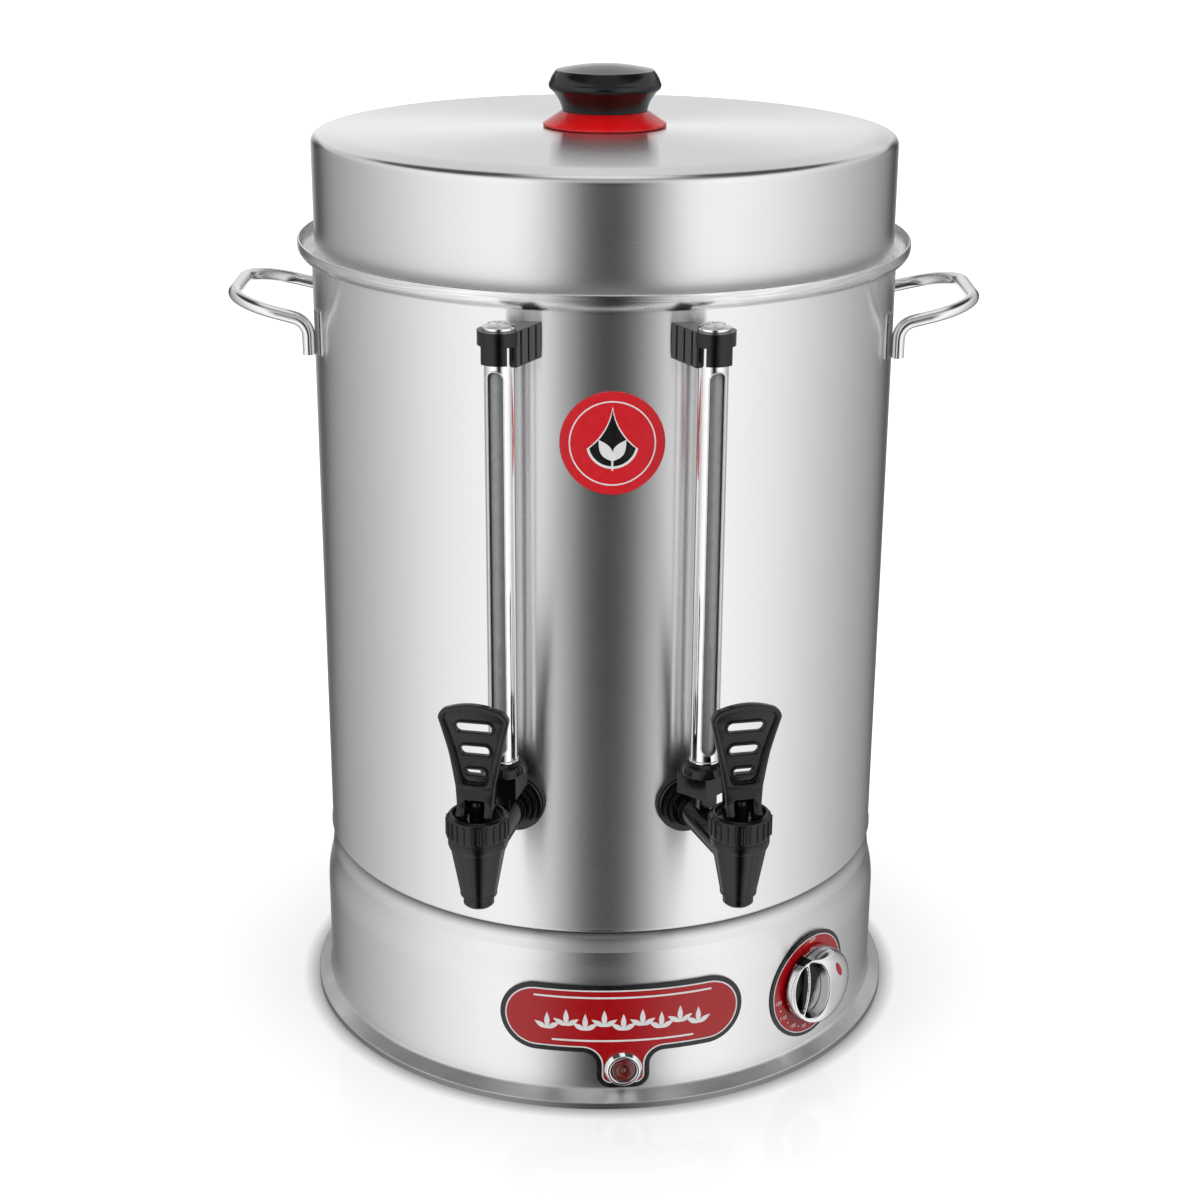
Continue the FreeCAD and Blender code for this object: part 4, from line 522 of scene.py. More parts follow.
# The plain finishes: each one's noise scale, two colours, gloss and further settings
PLAIN = {
    # Drawn sheet inside the urn, and bent rod with faint drawing lines
    "inner_steel": (700, [grey(0.7, 0.01)] * 2, (0.26, 0.36), {"relief": 0.00002, "Metallic": 1}),
    "rod_steel": (900, [grey(0.8, 0.01)] * 2, (0.1, 0.18), {"relief": 0.00001, "Metallic": 1}),
    "brass": (350, [(0.6, 0.42, 0.2), (0.75, 0.56, 0.3)], (0.25, 0.4), {"Metallic": 1}),
    "rubber": (800, [grey(0.012, 0), grey(0.03, 0)], (0.6, 0.8), {"relief": 0.00008}),
    "silicone": (300, [(0.72, 0.7, 0.66), (0.8, 0.78, 0.74)], (0.4, 0.5),
                 {"detail": 2, "Subsurface_Weight": 0.2}),
    "red_plastic": (90, [(0.44, 0.002, 0.004), (0.5, 0.004, 0.006)], (0.1, 0.16),
                    {"spread": CRISP, "relief": 0.00001, "edge": 0.0004, "Specular_IOR_Level": 0.5}),
    # A pale, slightly milky clear tube, and a red-brown translucent moulding
    "clear_tube": (220, [(0.3, 0.31, 0.31), (0.42, 0.43, 0.43)], (0.05, 0.1),
                   {"detail": 2, "Transmission_Weight": 0.35, "IOR": 1.3, "Coat_Weight": 1}),
    "lens_red": (500, [(0.13, 0.012, 0.009), (0.24, 0.03, 0.022)], (0.1, 0.16),
                 {"detail": 2, "Transmission_Weight": 0.3, "Coat_Weight": 0.8, "Specular_IOR_Level": 0.5}),
}


def plain(name):
    scale, colours, gloss, settings = PLAIN[name]
    return mottled(name, scale, colours, gloss, **settings)


def chrome(name="chrome", gloss=(0.04, 0.09), tone=1):
    """Bright plate with the faintest haze."""
    colours = [grey(0.84 * tone, 0.01 * tone), grey(0.92 * tone, 0.01 * tone)]
    return mottled(name, 160, colours, gloss, 2, relief=0.000004, edge=0.0004, Metallic=1)


def printed(name, colours, rough=0.2):
    """Lacquered print: a colour with a slight mottle."""
    return mottled(name, 260, colours, (rough - 0.04, rough + 0.04), spread=CRISP, Specular_IOR_Level=0.45)


def black_plastic(name="black_plastic", rough=0.08, tone=0.003, edge=0.0005):
    """Glossy moulded plastic with a faint orange peel, soft edges and a little dust."""
    finish = Finish(name, Specular_IOR_Level=0.42)
    peel = finish.noise(finish.place(), 260, 2)
    dust = finish.noise(finish.place(), 60, 4, 0.6)
    dusty = finish.mix(finish.span(dust, 0.4, 0.7), grey(tone, 0), grey(tone * 2, 0))
    finish.bump(peel, 0.00001, edge=edge)
    return finish.set(Base_Color=dusty, Roughness=finish.span(peel, *CRISP, rough - 0.03, rough + 0.04))


def shaded_scoop_chrome():
    """Plate in the knob's scoops, painted with shade: nearly black where they face the dark side, grey to
    the right.
    """
    finish = Finish("shaded_scoop_chrome", Metallic=1)
    x, y, z = finish.axes()
    turn = radians(DIAL_AZIMUTH)
    across = finish.plus(finish.times(x, cos(turn)), finish.times(y, sin(turn)))
    fall = finish.times(finish.math("SUBTRACT", z, DIAL_HEIGHT * MM), -0.22)
    haze = finish.noise(finish.place(), 150, 3)
    ragged = finish.plus(finish.plus(across, fall), finish.times(haze, 0.003))
    # Painted shade and light: the colour goes from nearly black at the upper left to grey at the lower right
    right = finish.span(ragged, -0.0065, -0.0045)
    return finish.set(Base_Color=finish.mix(right, grey(0.025, 0.002), grey(0.3, 0.01)),
                      Roughness=finish.span(haze, *CRISP, 0.12, 0.2))


# Turned bodies

def shell(steel):
    """The tank's wall, rolled outwards at its lower edge."""
    roll = ((-1, 0.2), (-0.6, -0.25), (0.2, -0.3), (0.55, 0.1), (0.45, 0.8), (0, 2.2))
    profile = [(BODY_RADIUS + out, SHELL_LOW + rise) for out, rise in roll]
    profile += [(BODY_RADIUS, SHELL_TOP), (BODY_RADIUS - SHEET, SHELL_TOP)]
    piece("shell_sheet", turned(profile), steel, node="tank_shell", smooth=50)


def lid(steel):
    """A skirt, a tight shoulder and a nearly flat top, as thick as the sheet all over."""
    outer = path((LID_RADIUS, LID_LOW), (LID_RADIUS, 499.6, 4.2, 1), (154.8, 503.8, 60, 1), (142.5, 505.8),
                 (34, 506.25), (LID_HOLE, 506.3), closed=False, step=4)
    inner = [(radius - (SHEET if radius > LID_HOLE else 0), height - (SHEET if height > LID_LOW else 0))
             for radius, height in reversed(outer)]
    piece("lid_sheet", turned(outer + inner), steel, "lid", node="lid_shell", smooth=60)


def collar(steel):
    """A flat ledge that turns up through a gutter into a thin rim."""
    rim = SHELL_TOP + 10
    lip = BODY_RADIUS + 7.5
    profile = path((LEDGE_BORE, SHELL_TOP), (BODY_RADIUS, SHELL_TOP), (163.7, SHELL_TOP + SHEET, 6.5, 1),
                   (lip, rim - 4), (lip, rim - 0.7, 0.7, 1), (lip - 0.7, rim), (lip - SHEET, rim),
                   (lip - SHEET, rim - 4, 5.5, -1), (162.7, SHELL_TOP + 1.9), (160.9, SHELL_TOP + SHEET),
                   (LEDGE_BORE, SHELL_TOP + SHEET), step=8)
    piece("collar_band", turned(profile), steel, node="collar_ring", smooth=40)


def base(steel):
    """A wall that swells under its shoulder and ends in a flared foot with a hem."""
    inner = [(146.7, 100.4), (152.5, 100.4, 8, -1), (156.7, 95.4), (159, 89.2, 75, -1), (162.6, 66.4),
             (162.6, 8), (170.5, 3.4), (170.5, 0)]
    outer = [(FOOT_RADIUS, 0), (FOOT_RADIUS, 3, 0.9, 1), (170.9, 3.9), (165, 7.2, 2.4, -1),
             (BASE_RADIUS, 9.4), (BASE_RADIUS, 64, 60, 1), (162.2, 76.8, 60, -1), (160, 89.6),
             (157.7, 95.6, 8, 1), (152.8, 101.4), (146.7, 101.4)]
    piece("base_sheet", turned(path(*inner, *outer, step=4)), steel, node="base_housing", smooth=14)


def knob(red, black):
    """The lid's knob: a low red cone under a black grip that flares upwards."""
    foot = rounded((3.3, KNOB_SEAT), (32.6, KNOB_SEAT), (33.5, KNOB_SEAT + 0.5, 0.4),
                   (33.5, KNOB_SEAT + 1.4, 0.4), (23.3, KNOB_WAIST), (3.3, KNOB_WAIST))
    piece("knob_foot", turned(foot, 128), red, "lid", node="knob_base", smooth=30)
    waist, rim = KNOB_WAIST, KNOB_WAIST + 21.5
    cap = path((0, waist + 13), (3.3, waist + 13), (3.3, waist), (23, waist, 20, -1),
               (30, waist + 11.6, 3.4, 1), (30, waist + 15.2, 16, 1), (27, rim - 0.9, 1.6, 1),
               (25.6, rim), (24, rim + 0.3, 118, 1), (0, rim + 3), step=4)
    piece("knob_grip", turned(cap, 128), black, "lid", node="knob_cap", smooth=28)


# Taps

SLOTS = [(46.2, 9.2, 2.7), (33.4, 7.4, 2.6), (21.7, 5, 1.6)]
PADDLE_TOP = 59.7
# Where the paddle's face turns from hollow to leaning outwards
PADDLE_WAIST = 29
# The radius of the rounded heel, and how far its middle stands out from the pin
HEEL, HEEL_OUT = 4.9, 3.7


def paddle_front(z):
    """The paddle's face at a height above the pin, as y."""
    if z < 0:
        return -HEEL_OUT - sqrt(max(HEEL * HEEL - z * z, 0))
    if z < HEEL:
        return -HEEL_OUT - sqrt(HEEL * HEEL - z * z) * (1 - z / HEEL) - 2.9 * z / HEEL
    if z < PADDLE_WAIST:
        return -6.6 + 1.9 * sin((z - HEEL) / (PADDLE_WAIST - HEEL) * pi / 2)
    return -4.7 - 4.4 * ((z - PADDLE_WAIST) / (PADDLE_TOP - PADDLE_WAIST)) ** 1.5


def paddle_back(z):
    """The paddle's rear side."""
    if z < 0:
        round_heel = -HEEL_OUT + sqrt(max(HEEL * HEEL - z * z, 0))
        return max(round_heel, sqrt(max(3.4 ** 2 - z * z, 0)))
    if z < PADDLE_WAIST:
        return 3.1 - 2.4 * min(max(z - 2, 0) / 27, 1) ** 0.7
    return 0.7 - 5.6 * ((z - PADDLE_WAIST) / (PADDLE_TOP - PADDLE_WAIST)) ** 1.3


def lean(shape, low, high):
    """Give a flat piece the paddle's thickness: low and high are shares from its rear to its face."""
    fork_low, fork_high = -4.4, 8
    sliced(shape, 2, fork_low, fork_high, 0.8)
    sliced(shape, 2, fork_high, PADDLE_TOP, 2.5)
    ys = [vertex.co.y for vertex in shape.verts]
    near, far = min(ys), max(ys)
    for vertex in shape.verts:
        share = (far - vertex.co.y) / (far - near)
        z = max(min(vertex.co.z, PADDLE_TOP), -HEEL)
        front, back = paddle_front(z), paddle_back(z)
        start, end = back + (front - back) * low, back + (front - back) * high
        vertex.co.y = start + (end - start) * share
    return shape


def paddle_field(foot, foot_rise, wide, corner, top, top_rise, tip, tip_rise, turn):
    """The edge of the paddle's hollow: round corners at its top, and a foot that narrows to a tip."""
    return path((foot, foot_rise, 300, -1), (wide, 49.8, corner, 1), (top, top_rise, 31, 1),
                (-top, top_rise, corner, 1), (-wide, 49.8, 300, -1), (-foot, foot_rise, turn, 1),
                (-tip, tip_rise, 12, 1), (tip, tip_rise, turn, 1))


def lever(side, black):
    """A paddle with two prongs, a raised rim, a hollow face and three slots with lips."""
    prong = [(4.2, 7.1), (4.8, 6.5), (4.8, -4.2), (5.4, -4.8), (8.4, -4.8), (9.2, -4), (9.2, 4.9)]
    other_prong = [(-x, z) for x, z in reversed(prong)]
    outline = path((9.9, 13.9, 400, -1), (17.7, 51, 6.5, 1), (12.7, 57, 34, 1),
                   (-12.7, 57, 6.5, 1), (-17.7, 51, 400, -1), (-9.9, 13.9), *other_prong, *prong)
    field = paddle_field(7, 18.6, 15.2, 5.4, 11.2, 54.7, 3, 15.6, 3)
    wide_field = paddle_field(7.6, 18.4, 15.9, 6.1, 11.4, 55.5, 3.2, 14.8, 3.6)
    slots = [oblong(wide, high, 0, rise) for rise, wide, high in SLOTS]
    shapes = [lean(plate([outline, field], 5, 0.75, 4), 0, 1),
              lean(plate([wide_field] + slots, 2, 0.3), 0.1, 0.62)]
    for rise, wide, high in SLOTS:
        lip = [oblong(wide + grow, high + grow, 0, rise) for grow in (1.3, -0.1)]
        shapes.append(lean(plate(lip, 2.4, 0.5, 4), 0.05, 0.86))
    name = "tap_lever_" + side
    piece("lever_" + side, shapes, black, name, node=name, smooth=32, at=paddle_frame(side))


def nut(side, black):
    """The ribbed ring that closes the valve, with a rounded top edge and slim ribs."""
    low, top, floor = 184.2, 196.7, 192.7
    core = rounded((12.9, low), (15.3, low, 0.4), (15.4, low + 1.2, 0.3), (15.4, top - 1.4, 1.6),
                   (13.9, top, 0.8), (12.9, top - 0.2, 0.5), (12.5, top - 1.6), (12.5, floor + 0.3, 0.4),
                   (3.4, floor), (3.4, floor - 1.6), (12.9, floor - 1.6))
    shapes = [turned(core, 144)]
    rib = rounded((-0.75, 0.9, 0.5), (0.75, 0.9, 0.5), (0.75, 10.2, 0.6), (-0.75, 10.2, 0.6))
    shapes += [moved(plate([rib], 1.5, 0.35), spin(index * 360 / NUT_RIBS + 7) @ shift(y=-14.7, z=low))
               for index in range(NUT_RIBS)]
    piece("valve_nut_" + side, shapes, black, node="tap_bonnet_nut_" + side, smooth=30, at=valve_frame(side))


def valve_seams(side, black):
    """The mould's parting line, the collar's rounded edges and the rings above the spout's tip."""
    seam = tube([(0, -14.95, 184), (0, -14.95, 180.2), (0, -14.3, 179.9), (0, -9.15, 152.2)], 0.16)
    ring = turned(rounded((8.2, 151.4), (9.25, 151.6, 0.35), (9.45, 152.8, 0.35), (8.6, 153.4)), 96)
    flange = turned(rounded((13.4, 178.2), (14.5, 178.3, 0.3), (15.1, 180.2, 0.5), (15.15, 183.4, 0.5),
                            (13.4, 183.9)), 96)
    piece("valve_seams_" + side, [seam, ring, flange], black, smooth=40,
          at=valve_frame(side))


def stem(side, black):
    """The stem's domed head between the lever's prongs."""
    name = "tap_stem_" + side
    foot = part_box(name)[1][2] / MM - 0.6
    edge = max(PIN_HEIGHT + 5.1, foot + 0.1)
    dome = path((0, foot), (4.1, foot), (4.1, edge, 6.55, 1), (0, PIN_HEIGHT + 6.55), step=4)
    piece("stem_head_" + side, turned(dome, 72), black, name, smooth=40, at=valve_frame(side))


def socket_ribs(side, black):
    """Small ribs for a spanner on the gauge socket's domed nut, over a rounded foot."""
    shapes = [turned(rounded((10.6, 202.3), (11.75, 202.4, 0.4), (11.8, 203.6, 0.5), (10.8, 204)), 96)]
    rib = [(0, -11.35, 203.6), (0, -11.25, 205), (0, -10.5, 206.6), (0, -9.2, 207.9)]
    shapes += [moved(tube(rib, 0.75), spin(index * 360 / SOCKET_RIBS + 22)) for index in range(SOCKET_RIBS)]
    piece("socket_ribs_" + side, shapes, black, smooth=50, at=gauge_frame(side))


def bracket_flutes(side, black):
    """Shallow upright flutes on the block that ties the gauge's bracket to the wall."""
    inward = 1 if side == LEFT else -1
    low, high = SHELL_TOP - 22.2, SHELL_TOP - 6
    spots = [(across, -2.95) for across in (5.6, 7.3, 9)]
    spots += [(9.85 + 4.7 * share, -2.9 + 23.9 * share) for share in (0.2, 0.5, 0.8)]
    rods = [tube([(across * inward, back, low), (across * inward, back, high)], 0.5, sides=8)
            for across, back in spots]
    piece("bracket_flutes_" + side, rods, black, smooth=50,
          at=gauge_frame(side))


def cap_relief(side, bright):
    """A raised ring and a plain cross on the gauge's top cap."""
    circle = [(x, y, 435.85) for x, y in disc(5.3, count=48)]
    bar = [(-2.6, 436.35), (0, 436.45), (2.6, 436.35)]
    shapes = [tube(circle, 0.3, closed=True, sides=8), tube([(x, 0, z) for x, z in bar], 0.35),
              tube([(0, y, z) for y, z in bar], 0.35)]
    piece("cap_relief_" + side, shapes, bright, smooth=50, at=gauge_frame(side))


def gauge_trim(side, bright):
    """A drawn lip round the slot of the gauge's shield and a bead at its foot."""
    low, high, half, radius, spacing = 213.8, 414, 4.3, 7.55, 12
    line = oblong(half, (high - low) / 2, 0, (high + low) / 2, step=12)
    dense = []
    for (x0, z0), (x1, z1) in zip(line, line[1:] + line[:1]):
        count = max(1, int(abs(z1 - z0) / spacing))
        dense += [(x0 + (x1 - x0) * k / count, z0 + (z1 - z0) * k / count) for k in range(count)]
    lip = tube([(x, -sqrt(radius * radius - x * x), z) for x, z in dense], 0.38, closed=True, sides=8)
    bead = turned(rounded((7.2, 208.9), (8.1, 208.9, 0.4), (8.1, 210.1, 0.5), (7.2, 210.4)), 64)
    piece("gauge_lip_" + side, [lip, bead], bright, smooth=50,
          at=gauge_frame(side))


# Labels

LABEL_LIFT = 0.3
RIM_THICK, RIM_EDGE = 0.36, 0.12


def printer(wall, azimuth, middle=0):
    """A function that lays flat outlines on a wall round a label's middle, with a print's thickness."""
    def layer(outlines, thick, edge=0):
        raised = [[(x, y + middle) for x, y in points] for points in outlines]
        return wrapped(plate(raised, thick, edge), wall + LABEL_LIFT, azimuth)
    return layer


def band(inset):
    """The name plate's edge, moved inwards: a band with round ends and a tab below it."""
    low, high, straight = 31 + inset, 72 - inset, 47.5
    tab_half, tab_low = 14.5 - inset, 9 + inset
    corner, turn = 8 - inset, 8 + inset
    half_band = (high - low) / 2
    return path((straight, low, half_band, 1), (straight, high), (-straight, high, half_band, 1),
                (-straight, low), (-tab_half - turn, low, turn, -1), (-tab_half, low - turn),
                (-tab_half, tab_low + corner, corner, 1), (-tab_half + corner, tab_low),
                (tab_half - corner, tab_low, corner, 1), (tab_half, tab_low + corner),
                (tab_half, low - turn, turn, -1), (tab_half + turn, low))


def leaf(length, width, x=0, y=0, turn=0, steps=16):
    """A pointed leaf with its foot at (x, y), up one side and down the other."""
    ways = [(k / steps, 1) for k in range(steps + 1)] + [(k / steps, -1) for k in range(steps - 1, 0, -1)]
    way_cos, way_sin = cos(radians(turn)), sin(radians(turn))
    points = []
    for share, side in ways:
        across, along = side * width * sin(pi * share) * (1 - share * 0.35), length * share
        points.append((x + across * way_cos - along * way_sin, y + across * way_sin + along * way_cos))
    return points


def name_plate(black, white, red):
    """A bare red plate with a white line, a black border and a row of plain leaf marks."""
    layer = printer(BASE_RADIUS, PLATE_AZIMUTH)
    hole = disc(6.8, 0, LAMP_HEIGHT)
    border, line, field = ([band(inset), hole] for inset in (0, 2.9, 3.7))
    piece("plate_border", layer(border, RIM_THICK, RIM_EDGE), black, node="name_plate")
    piece("plate_line", layer(line, 0.44), white)
    piece("plate_field", layer(field, 0.48), red)
    marks = []
    for index in range(-4, 5):
        x, y = index * 10.4, 45.8 + (1.2 if index % 2 else -1.2)
        marks += [leaf(8.2, 1.75, x, y, -58), leaf(10.2, 1.75, x, y), leaf(8.2, 1.75, x, y, 58)]
    marks += [oblong(49, 0.55, 0, 64.6), oblong(39, 0.55, 0, 38.2)]
    piece("plate_marks", [layer([mark], 0.52) for mark in marks], white)


def round_label(black, white, red):
    """A plain red disc with a white ring, a black drop and two leaves."""
    layer = printer(BODY_RADIUS, BADGE_AZIMUTH, BADGE_HEIGHT)
    piece("badge_disc", layer([disc(26.3, count=128)], 0.4, RIM_EDGE), red, node="round_label")
    ring = [disc(21.6, count=96), disc(20.9, count=96)]
    drop = path((0, 17, 30, -1), (-11.5, -2.5, 11.8, 1), (11.5, -2.5, 30, -1), step=5)
    halo = path((0, 19, 32, -1), (-12.7, -2.7, 13, 1), (12.7, -2.7, 32, -1), step=5)
    piece("badge_white", [layer(ring, 0.45), layer([halo, drop], 0.45)], white)
    piece("badge_black", layer([drop], 0.44), black)
    plant = [leaf(13, 3.4, 0, -9, 32), leaf(13, 3.4, 0, -9, -32), oblong(0.5, 3.4, 0, -10.5)]
    piece("badge_leaves", [layer([part], 0.5) for part in plant], white)


# What the dial says, each with its turn clockwise from the top, its distance out and its letters' size
DIAL_WORDS = [("OFF", 0, 27.2, 3.105), ("80", 168, 26, 3.375), ("90", 190, 26, 3.375),
              ("100", 212, 26, 3.375), ("110", 237, 26, 3.375), ("120", 262, 26, 3.375)]
DIAL_DOTS, DOTS_OUT = (179, 201, 224.5, 249.5), 25.6


def clock(turn, out):
    """The place (x, z) at a turn clockwise from the top, in degrees, and a distance out."""
    return out * sin(radians(turn)), out * cos(radians(turn))


def dial(black, white, red):
    """A red disc in a black ring, with a light line at its edge, OFF and the degrees round it."""
    layer = printer(BASE_RADIUS, DIAL_AZIMUTH, DIAL_HEIGHT)
    hole, field = disc(5.3), disc(29, count=120)
    piece("dial_rim", layer([disc(31.8, count=120), hole], RIM_THICK, RIM_EDGE), black, node="dial_plate")
    piece("dial_field", layer([field, hole], 0.44), red)
    marks = [layer([disc(29.5, count=120), field], 0.46)]
    for word, turn, reach, size in DIAL_WORDS:
        x, z = clock(turn, reach)
        flat = moved(lettering(word, size), shift(x, -0.47, DIAL_HEIGHT + z))
        marks.append(wrapped(flat, BASE_RADIUS + LABEL_LIFT, DIAL_AZIMUTH))
    marks += [layer([disc(0.5, *clock(turn, DOTS_OUT), 16)], 0.5) for turn in DIAL_DOTS]
    piece("dial_marks", marks, white)


# The control knob: its skirt's radius, its edge's height and how far its middle lies above the shaft
KNOB_SKIRT, KNOB_EDGE, KNOB_LIFT = 22.4, 2.6, 3.5
# Its slanting oval face: where its middle lies and its half sizes, then its height and slope
FACE_MIDDLE, FACE_WIDE, FACE_TALL = -10.85, 9.35, 19.2
FACE_OUT, FACE_SLOPE = 9.3, 0.5775
# The skirt's middle, and how much and which way it is trimmed
SKIRT_X, SKIRT_Z, SKIRT_TRIM, TRIM_TURN = -0.7, -0.6, 0.9, 0.9
# The ridge between the scoops: its place across, its bow and its lean, and the scoops' depth
RIDGE_X, RIDGE_BOW, RIDGE_LEAN, SCOOP_DEEP = -15.2, 2.6, 0.045, 4.2


def knob_surface(turn, share):
    """A place (across, out, height) on the knob: share 0 is the face's middle, 1 its rim, 2 the edge."""
    way_x, way_z = FACE_WIDE * cos(turn), FACE_TALL * sin(turn)
    if share <= 1:
        x, z = FACE_MIDDLE + way_x * share, way_z * share
        return x, FACE_OUT + (x - FACE_MIDDLE) * FACE_SLOPE - scoop_depth(x, z, share), z
    length = hypot(way_x, way_z)
    unit_x, unit_z = way_x / length, way_z / length
    from_x, from_z = FACE_MIDDLE - SKIRT_X, -SKIRT_Z
    along = from_x * unit_x + from_z * unit_z
    radius = KNOB_SKIRT - SKIRT_TRIM * max(cos(turn - TRIM_TURN), 0)
    reach = -along + sqrt(along * along - from_x ** 2 - from_z ** 2 + radius ** 2)
    out = share - 1
    distance = length + (reach - length) * out
    rim = FACE_OUT + way_x * FACE_SLOPE
    high = KNOB_EDGE + (rim - KNOB_EDGE) * (1 - out ** 4) ** (1 / 3)
    return FACE_MIDDLE + unit_x * distance, high, unit_z * distance


def smooth_step(value, low, high):
    share = min(max((value - low) / (high - low), 0), 1)
    return share * share * (3 - 2 * share)


def scoop_depth(x, z, share):
    """How deep the two scoops beside the curved ridge lie under the face."""
    ridge = RIDGE_X + RIDGE_BOW * (1 - (z / FACE_TALL) ** 2) + RIDGE_LEAN * z
    beside, inside = smooth_step(abs(x - ridge), 0.25, 2), smooth_step(0.96 - share, 0, 0.22)
    return SCOOP_DEEP * beside * inside


def skin(rows, wanted):
    """A closed-round skin over rows of points, with only the cells that are wanted."""
    shape = bmesh.new()
    verts = [[shape.verts.new((x, -out, z)) for x, out, z in row] for row in rows]
    for ring, (low, top) in enumerate(zip(verts, verts[1:])):
        for k in range(len(low)):
            after = (k + 1) % len(low)
            if wanted(rows[ring][k], rows[ring + 1][after]):
                shape.faces.new((low[k], low[after], top[after], top[k]))
    loose = [vertex for vertex in shape.verts if not vertex.link_faces]
    bmesh.ops.delete(shape, geom=loose, context="VERTS")
    return shape


def in_scoop(first, last):
    """Whether a cell of the knob's skin lies well under its slanting face."""
    x, out, z = ((a + b) / 2 for a, b in zip(first, last))
    share = hypot((x - FACE_MIDDLE) / FACE_WIDE, z / FACE_TALL)
    return share < 0.97 and FACE_OUT + (x - FACE_MIDDLE) * FACE_SLOPE - out > 0.4


def control(bright, dim, red):
    """A bright round knob with a slanting face to its left, where a thin ridge parts two scoops."""
    here = radial(DIAL_AZIMUTH, BASE_RADIUS + 1.7, DIAL_HEIGHT + KNOB_LIFT)
    steps = 200
    shares = [0.004] + [k / 50 for k in range(1, 44)]
    shares += [0.885, 0.9, 0.915, 0.93, 0.955, 0.975, 0.99, 1, 1.015]
    shares += [1.03 + 0.97 * (k / 26) for k in range(27)]
    rows = [[knob_surface(2 * pi * k / steps, share) for k in range(steps)] for share in shares]
    for out, radius in ((1.6, KNOB_SKIRT), (0.6, KNOB_SKIRT), (0.3, KNOB_SKIRT - 0.3)):
        rows.append([(radius / KNOB_SKIRT * x, out, radius / KNOB_SKIRT * z) for x, _, z in rows[-1]])
    body = skin(rows, lambda first, last: not in_scoop(first, last))
    piece("dial_knob", body, bright, "control", node="control_knob", smooth=42, at=here)
    # The scoops take the chrome with painted shade
    piece("dial_scoops", skin(rows, in_scoop), dim, "control", smooth=60, at=here)
    piece("dial_pointer", pointer_mark(), red, "control", at=here)


def pointer_mark():
    """A thin oval that follows the knob's shoulder."""
    middle_x, middle_z, half_wide, half_long, lift = 5.4, 9.2, 1.8, 5, 0.12
    way_cos, way_sin, rings, steps = 0.9, 0.42, 6, 32
    rows = []
    for ring in range(1, rings + 1):
        row = []
        for x, y in disc(ring / rings, count=steps):
            u, v = half_wide * x, half_long * y
            across, up = middle_x + u * way_cos - v * way_sin, middle_z + u * way_sin + v * way_cos
            row.append((across, knob_height(across, up) + lift, up))
        rows.append(row)
    shape = skin(rows, lambda first, last: True)
    shape.faces.new(list(shape.verts)[:steps])
    return outward(shape)


def knob_height(x, z):
    """How far the knob's shoulder stands out at a place beside its face."""
    turn = atan2(z / FACE_TALL, (x - FACE_MIDDLE) / FACE_WIDE)
    low, high = 1, 2
    for _ in range(30):
        middle = (low + high) / 2
        place_x, _, place_z = knob_surface(turn, middle)
        if hypot(place_x - FACE_MIDDLE, place_z) < hypot(x - FACE_MIDDLE, z):
            low = middle
        else:
            high = middle
    return knob_surface(turn, low)[1]


def pilot_lamp(bright, lens):
    """A bright ring with a stepped red-brown lens."""
    here = radial(PLATE_AZIMUTH, BASE_RADIUS, LAMP_HEIGHT) @ spin(90, "X")
    ring = rounded((6.2, 0.9), (10.4, 0.9, 0.3), (10.4, 2, 0.9), (8.9, 4.3, 0.9), (7.4, 4.3, 0.6),
                   (6.6, 2.6))
    piece("lamp_ring", turned(ring, 96), bright, node="lamp_bezel", smooth=40, at=here)
    steps = path((0, 0.9), (6.5, 0.9), (6.5, 3.1), (5.5, 3.4), (5.2, 4.2), (4.2, 4.4), (3.9, 3.6),
                 (3.1, 3.4), (2.8, 2.8), (1.9, 2.7), (1.5, 3.3, 2.2, 1), (0, 3.8))
    piece("lamp_glass", turned(steps, 72), lens, node="lamp_lens", smooth=30, at=here)


def dress_frame(bright, black):
    """Give every node of the frame that still shows its finish, by the start of its name."""
    sheet = ("tank_floor", "base_plate", "tie_brackets", "foot_screws", "brew_pot", "filter_basket",
             "heating_element", "handle_pads", "knob_screw", "control_shaft")
    looks = [
        (plain("inner_steel"), sheet), (plain("rod_steel"), ("handle_left", "handle_right")),
        (plain("brass"), ("heater_glands", "thermostat_capillary")),
        (plain("rubber"), ("rubber_feet", "tap_gasket")),
        (plain("silicone"), ("tea_pipe", "terminal_block", "tap_seat_cup")),
        (bright, ("gauge_shield", "gauge_cap")), (plain("clear_tube"), ("gauge_tube",))]
    for name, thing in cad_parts.items():
        finish = next((look for look, starts in looks if name.startswith(starts)), black)
        for slot in thing.material_slots:
            slot.material = finish


def build_looks():
    bright, black = chrome(), black_plastic()
    print_red = printed("print_red", [(0.37, 0.003, 0.006), (0.4, 0.005, 0.009)])
    badge_red = printed("badge_red", [(0.62, 0.008, 0.016), (0.66, 0.011, 0.02)], 0.34)
    white = printed("print_white", [grey(0.74, 0), grey(0.82, 0)])
    print_black = printed("print_black", [grey(0.006, 0), grey(0.014, 0)], 0.24)
    shell(polished_steel())
    lid(lid_steel())
    collar(collar_steel())
    base(hem_steel())
    knob(plain("red_plastic"), black_plastic("black_knob", 0.07, 0.004, 0.0002))
    for side in (LEFT, RIGHT):
        for build in (lever, nut, valve_seams, stem):
            build(side, black)
        gauge_trim(side, bright)
        socket_ribs(side, black)
        cap_relief(side, bright)
        bracket_flutes(side, black)
    name_plate(print_black, white, print_red)
    round_label(print_black, white, badge_red)
    dial(print_black, white, print_red)
    control(chrome("knob_chrome", (0.05, 0.1), 0.82), shaded_scoop_chrome(), print_red)
    pilot_lamp(bright, plain("lens_red"))
    dress_frame(bright, black)


# Studio

def placed(name, data, *unseen_by):
    """An object in the scene, hidden from some kinds of rays."""
    thing = bpy.data.objects.new(name, data)
    bpy.context.scene.collection.objects.link(thing)
    return given(thing, **{"visible_" + rays: False for rays in unseen_by})


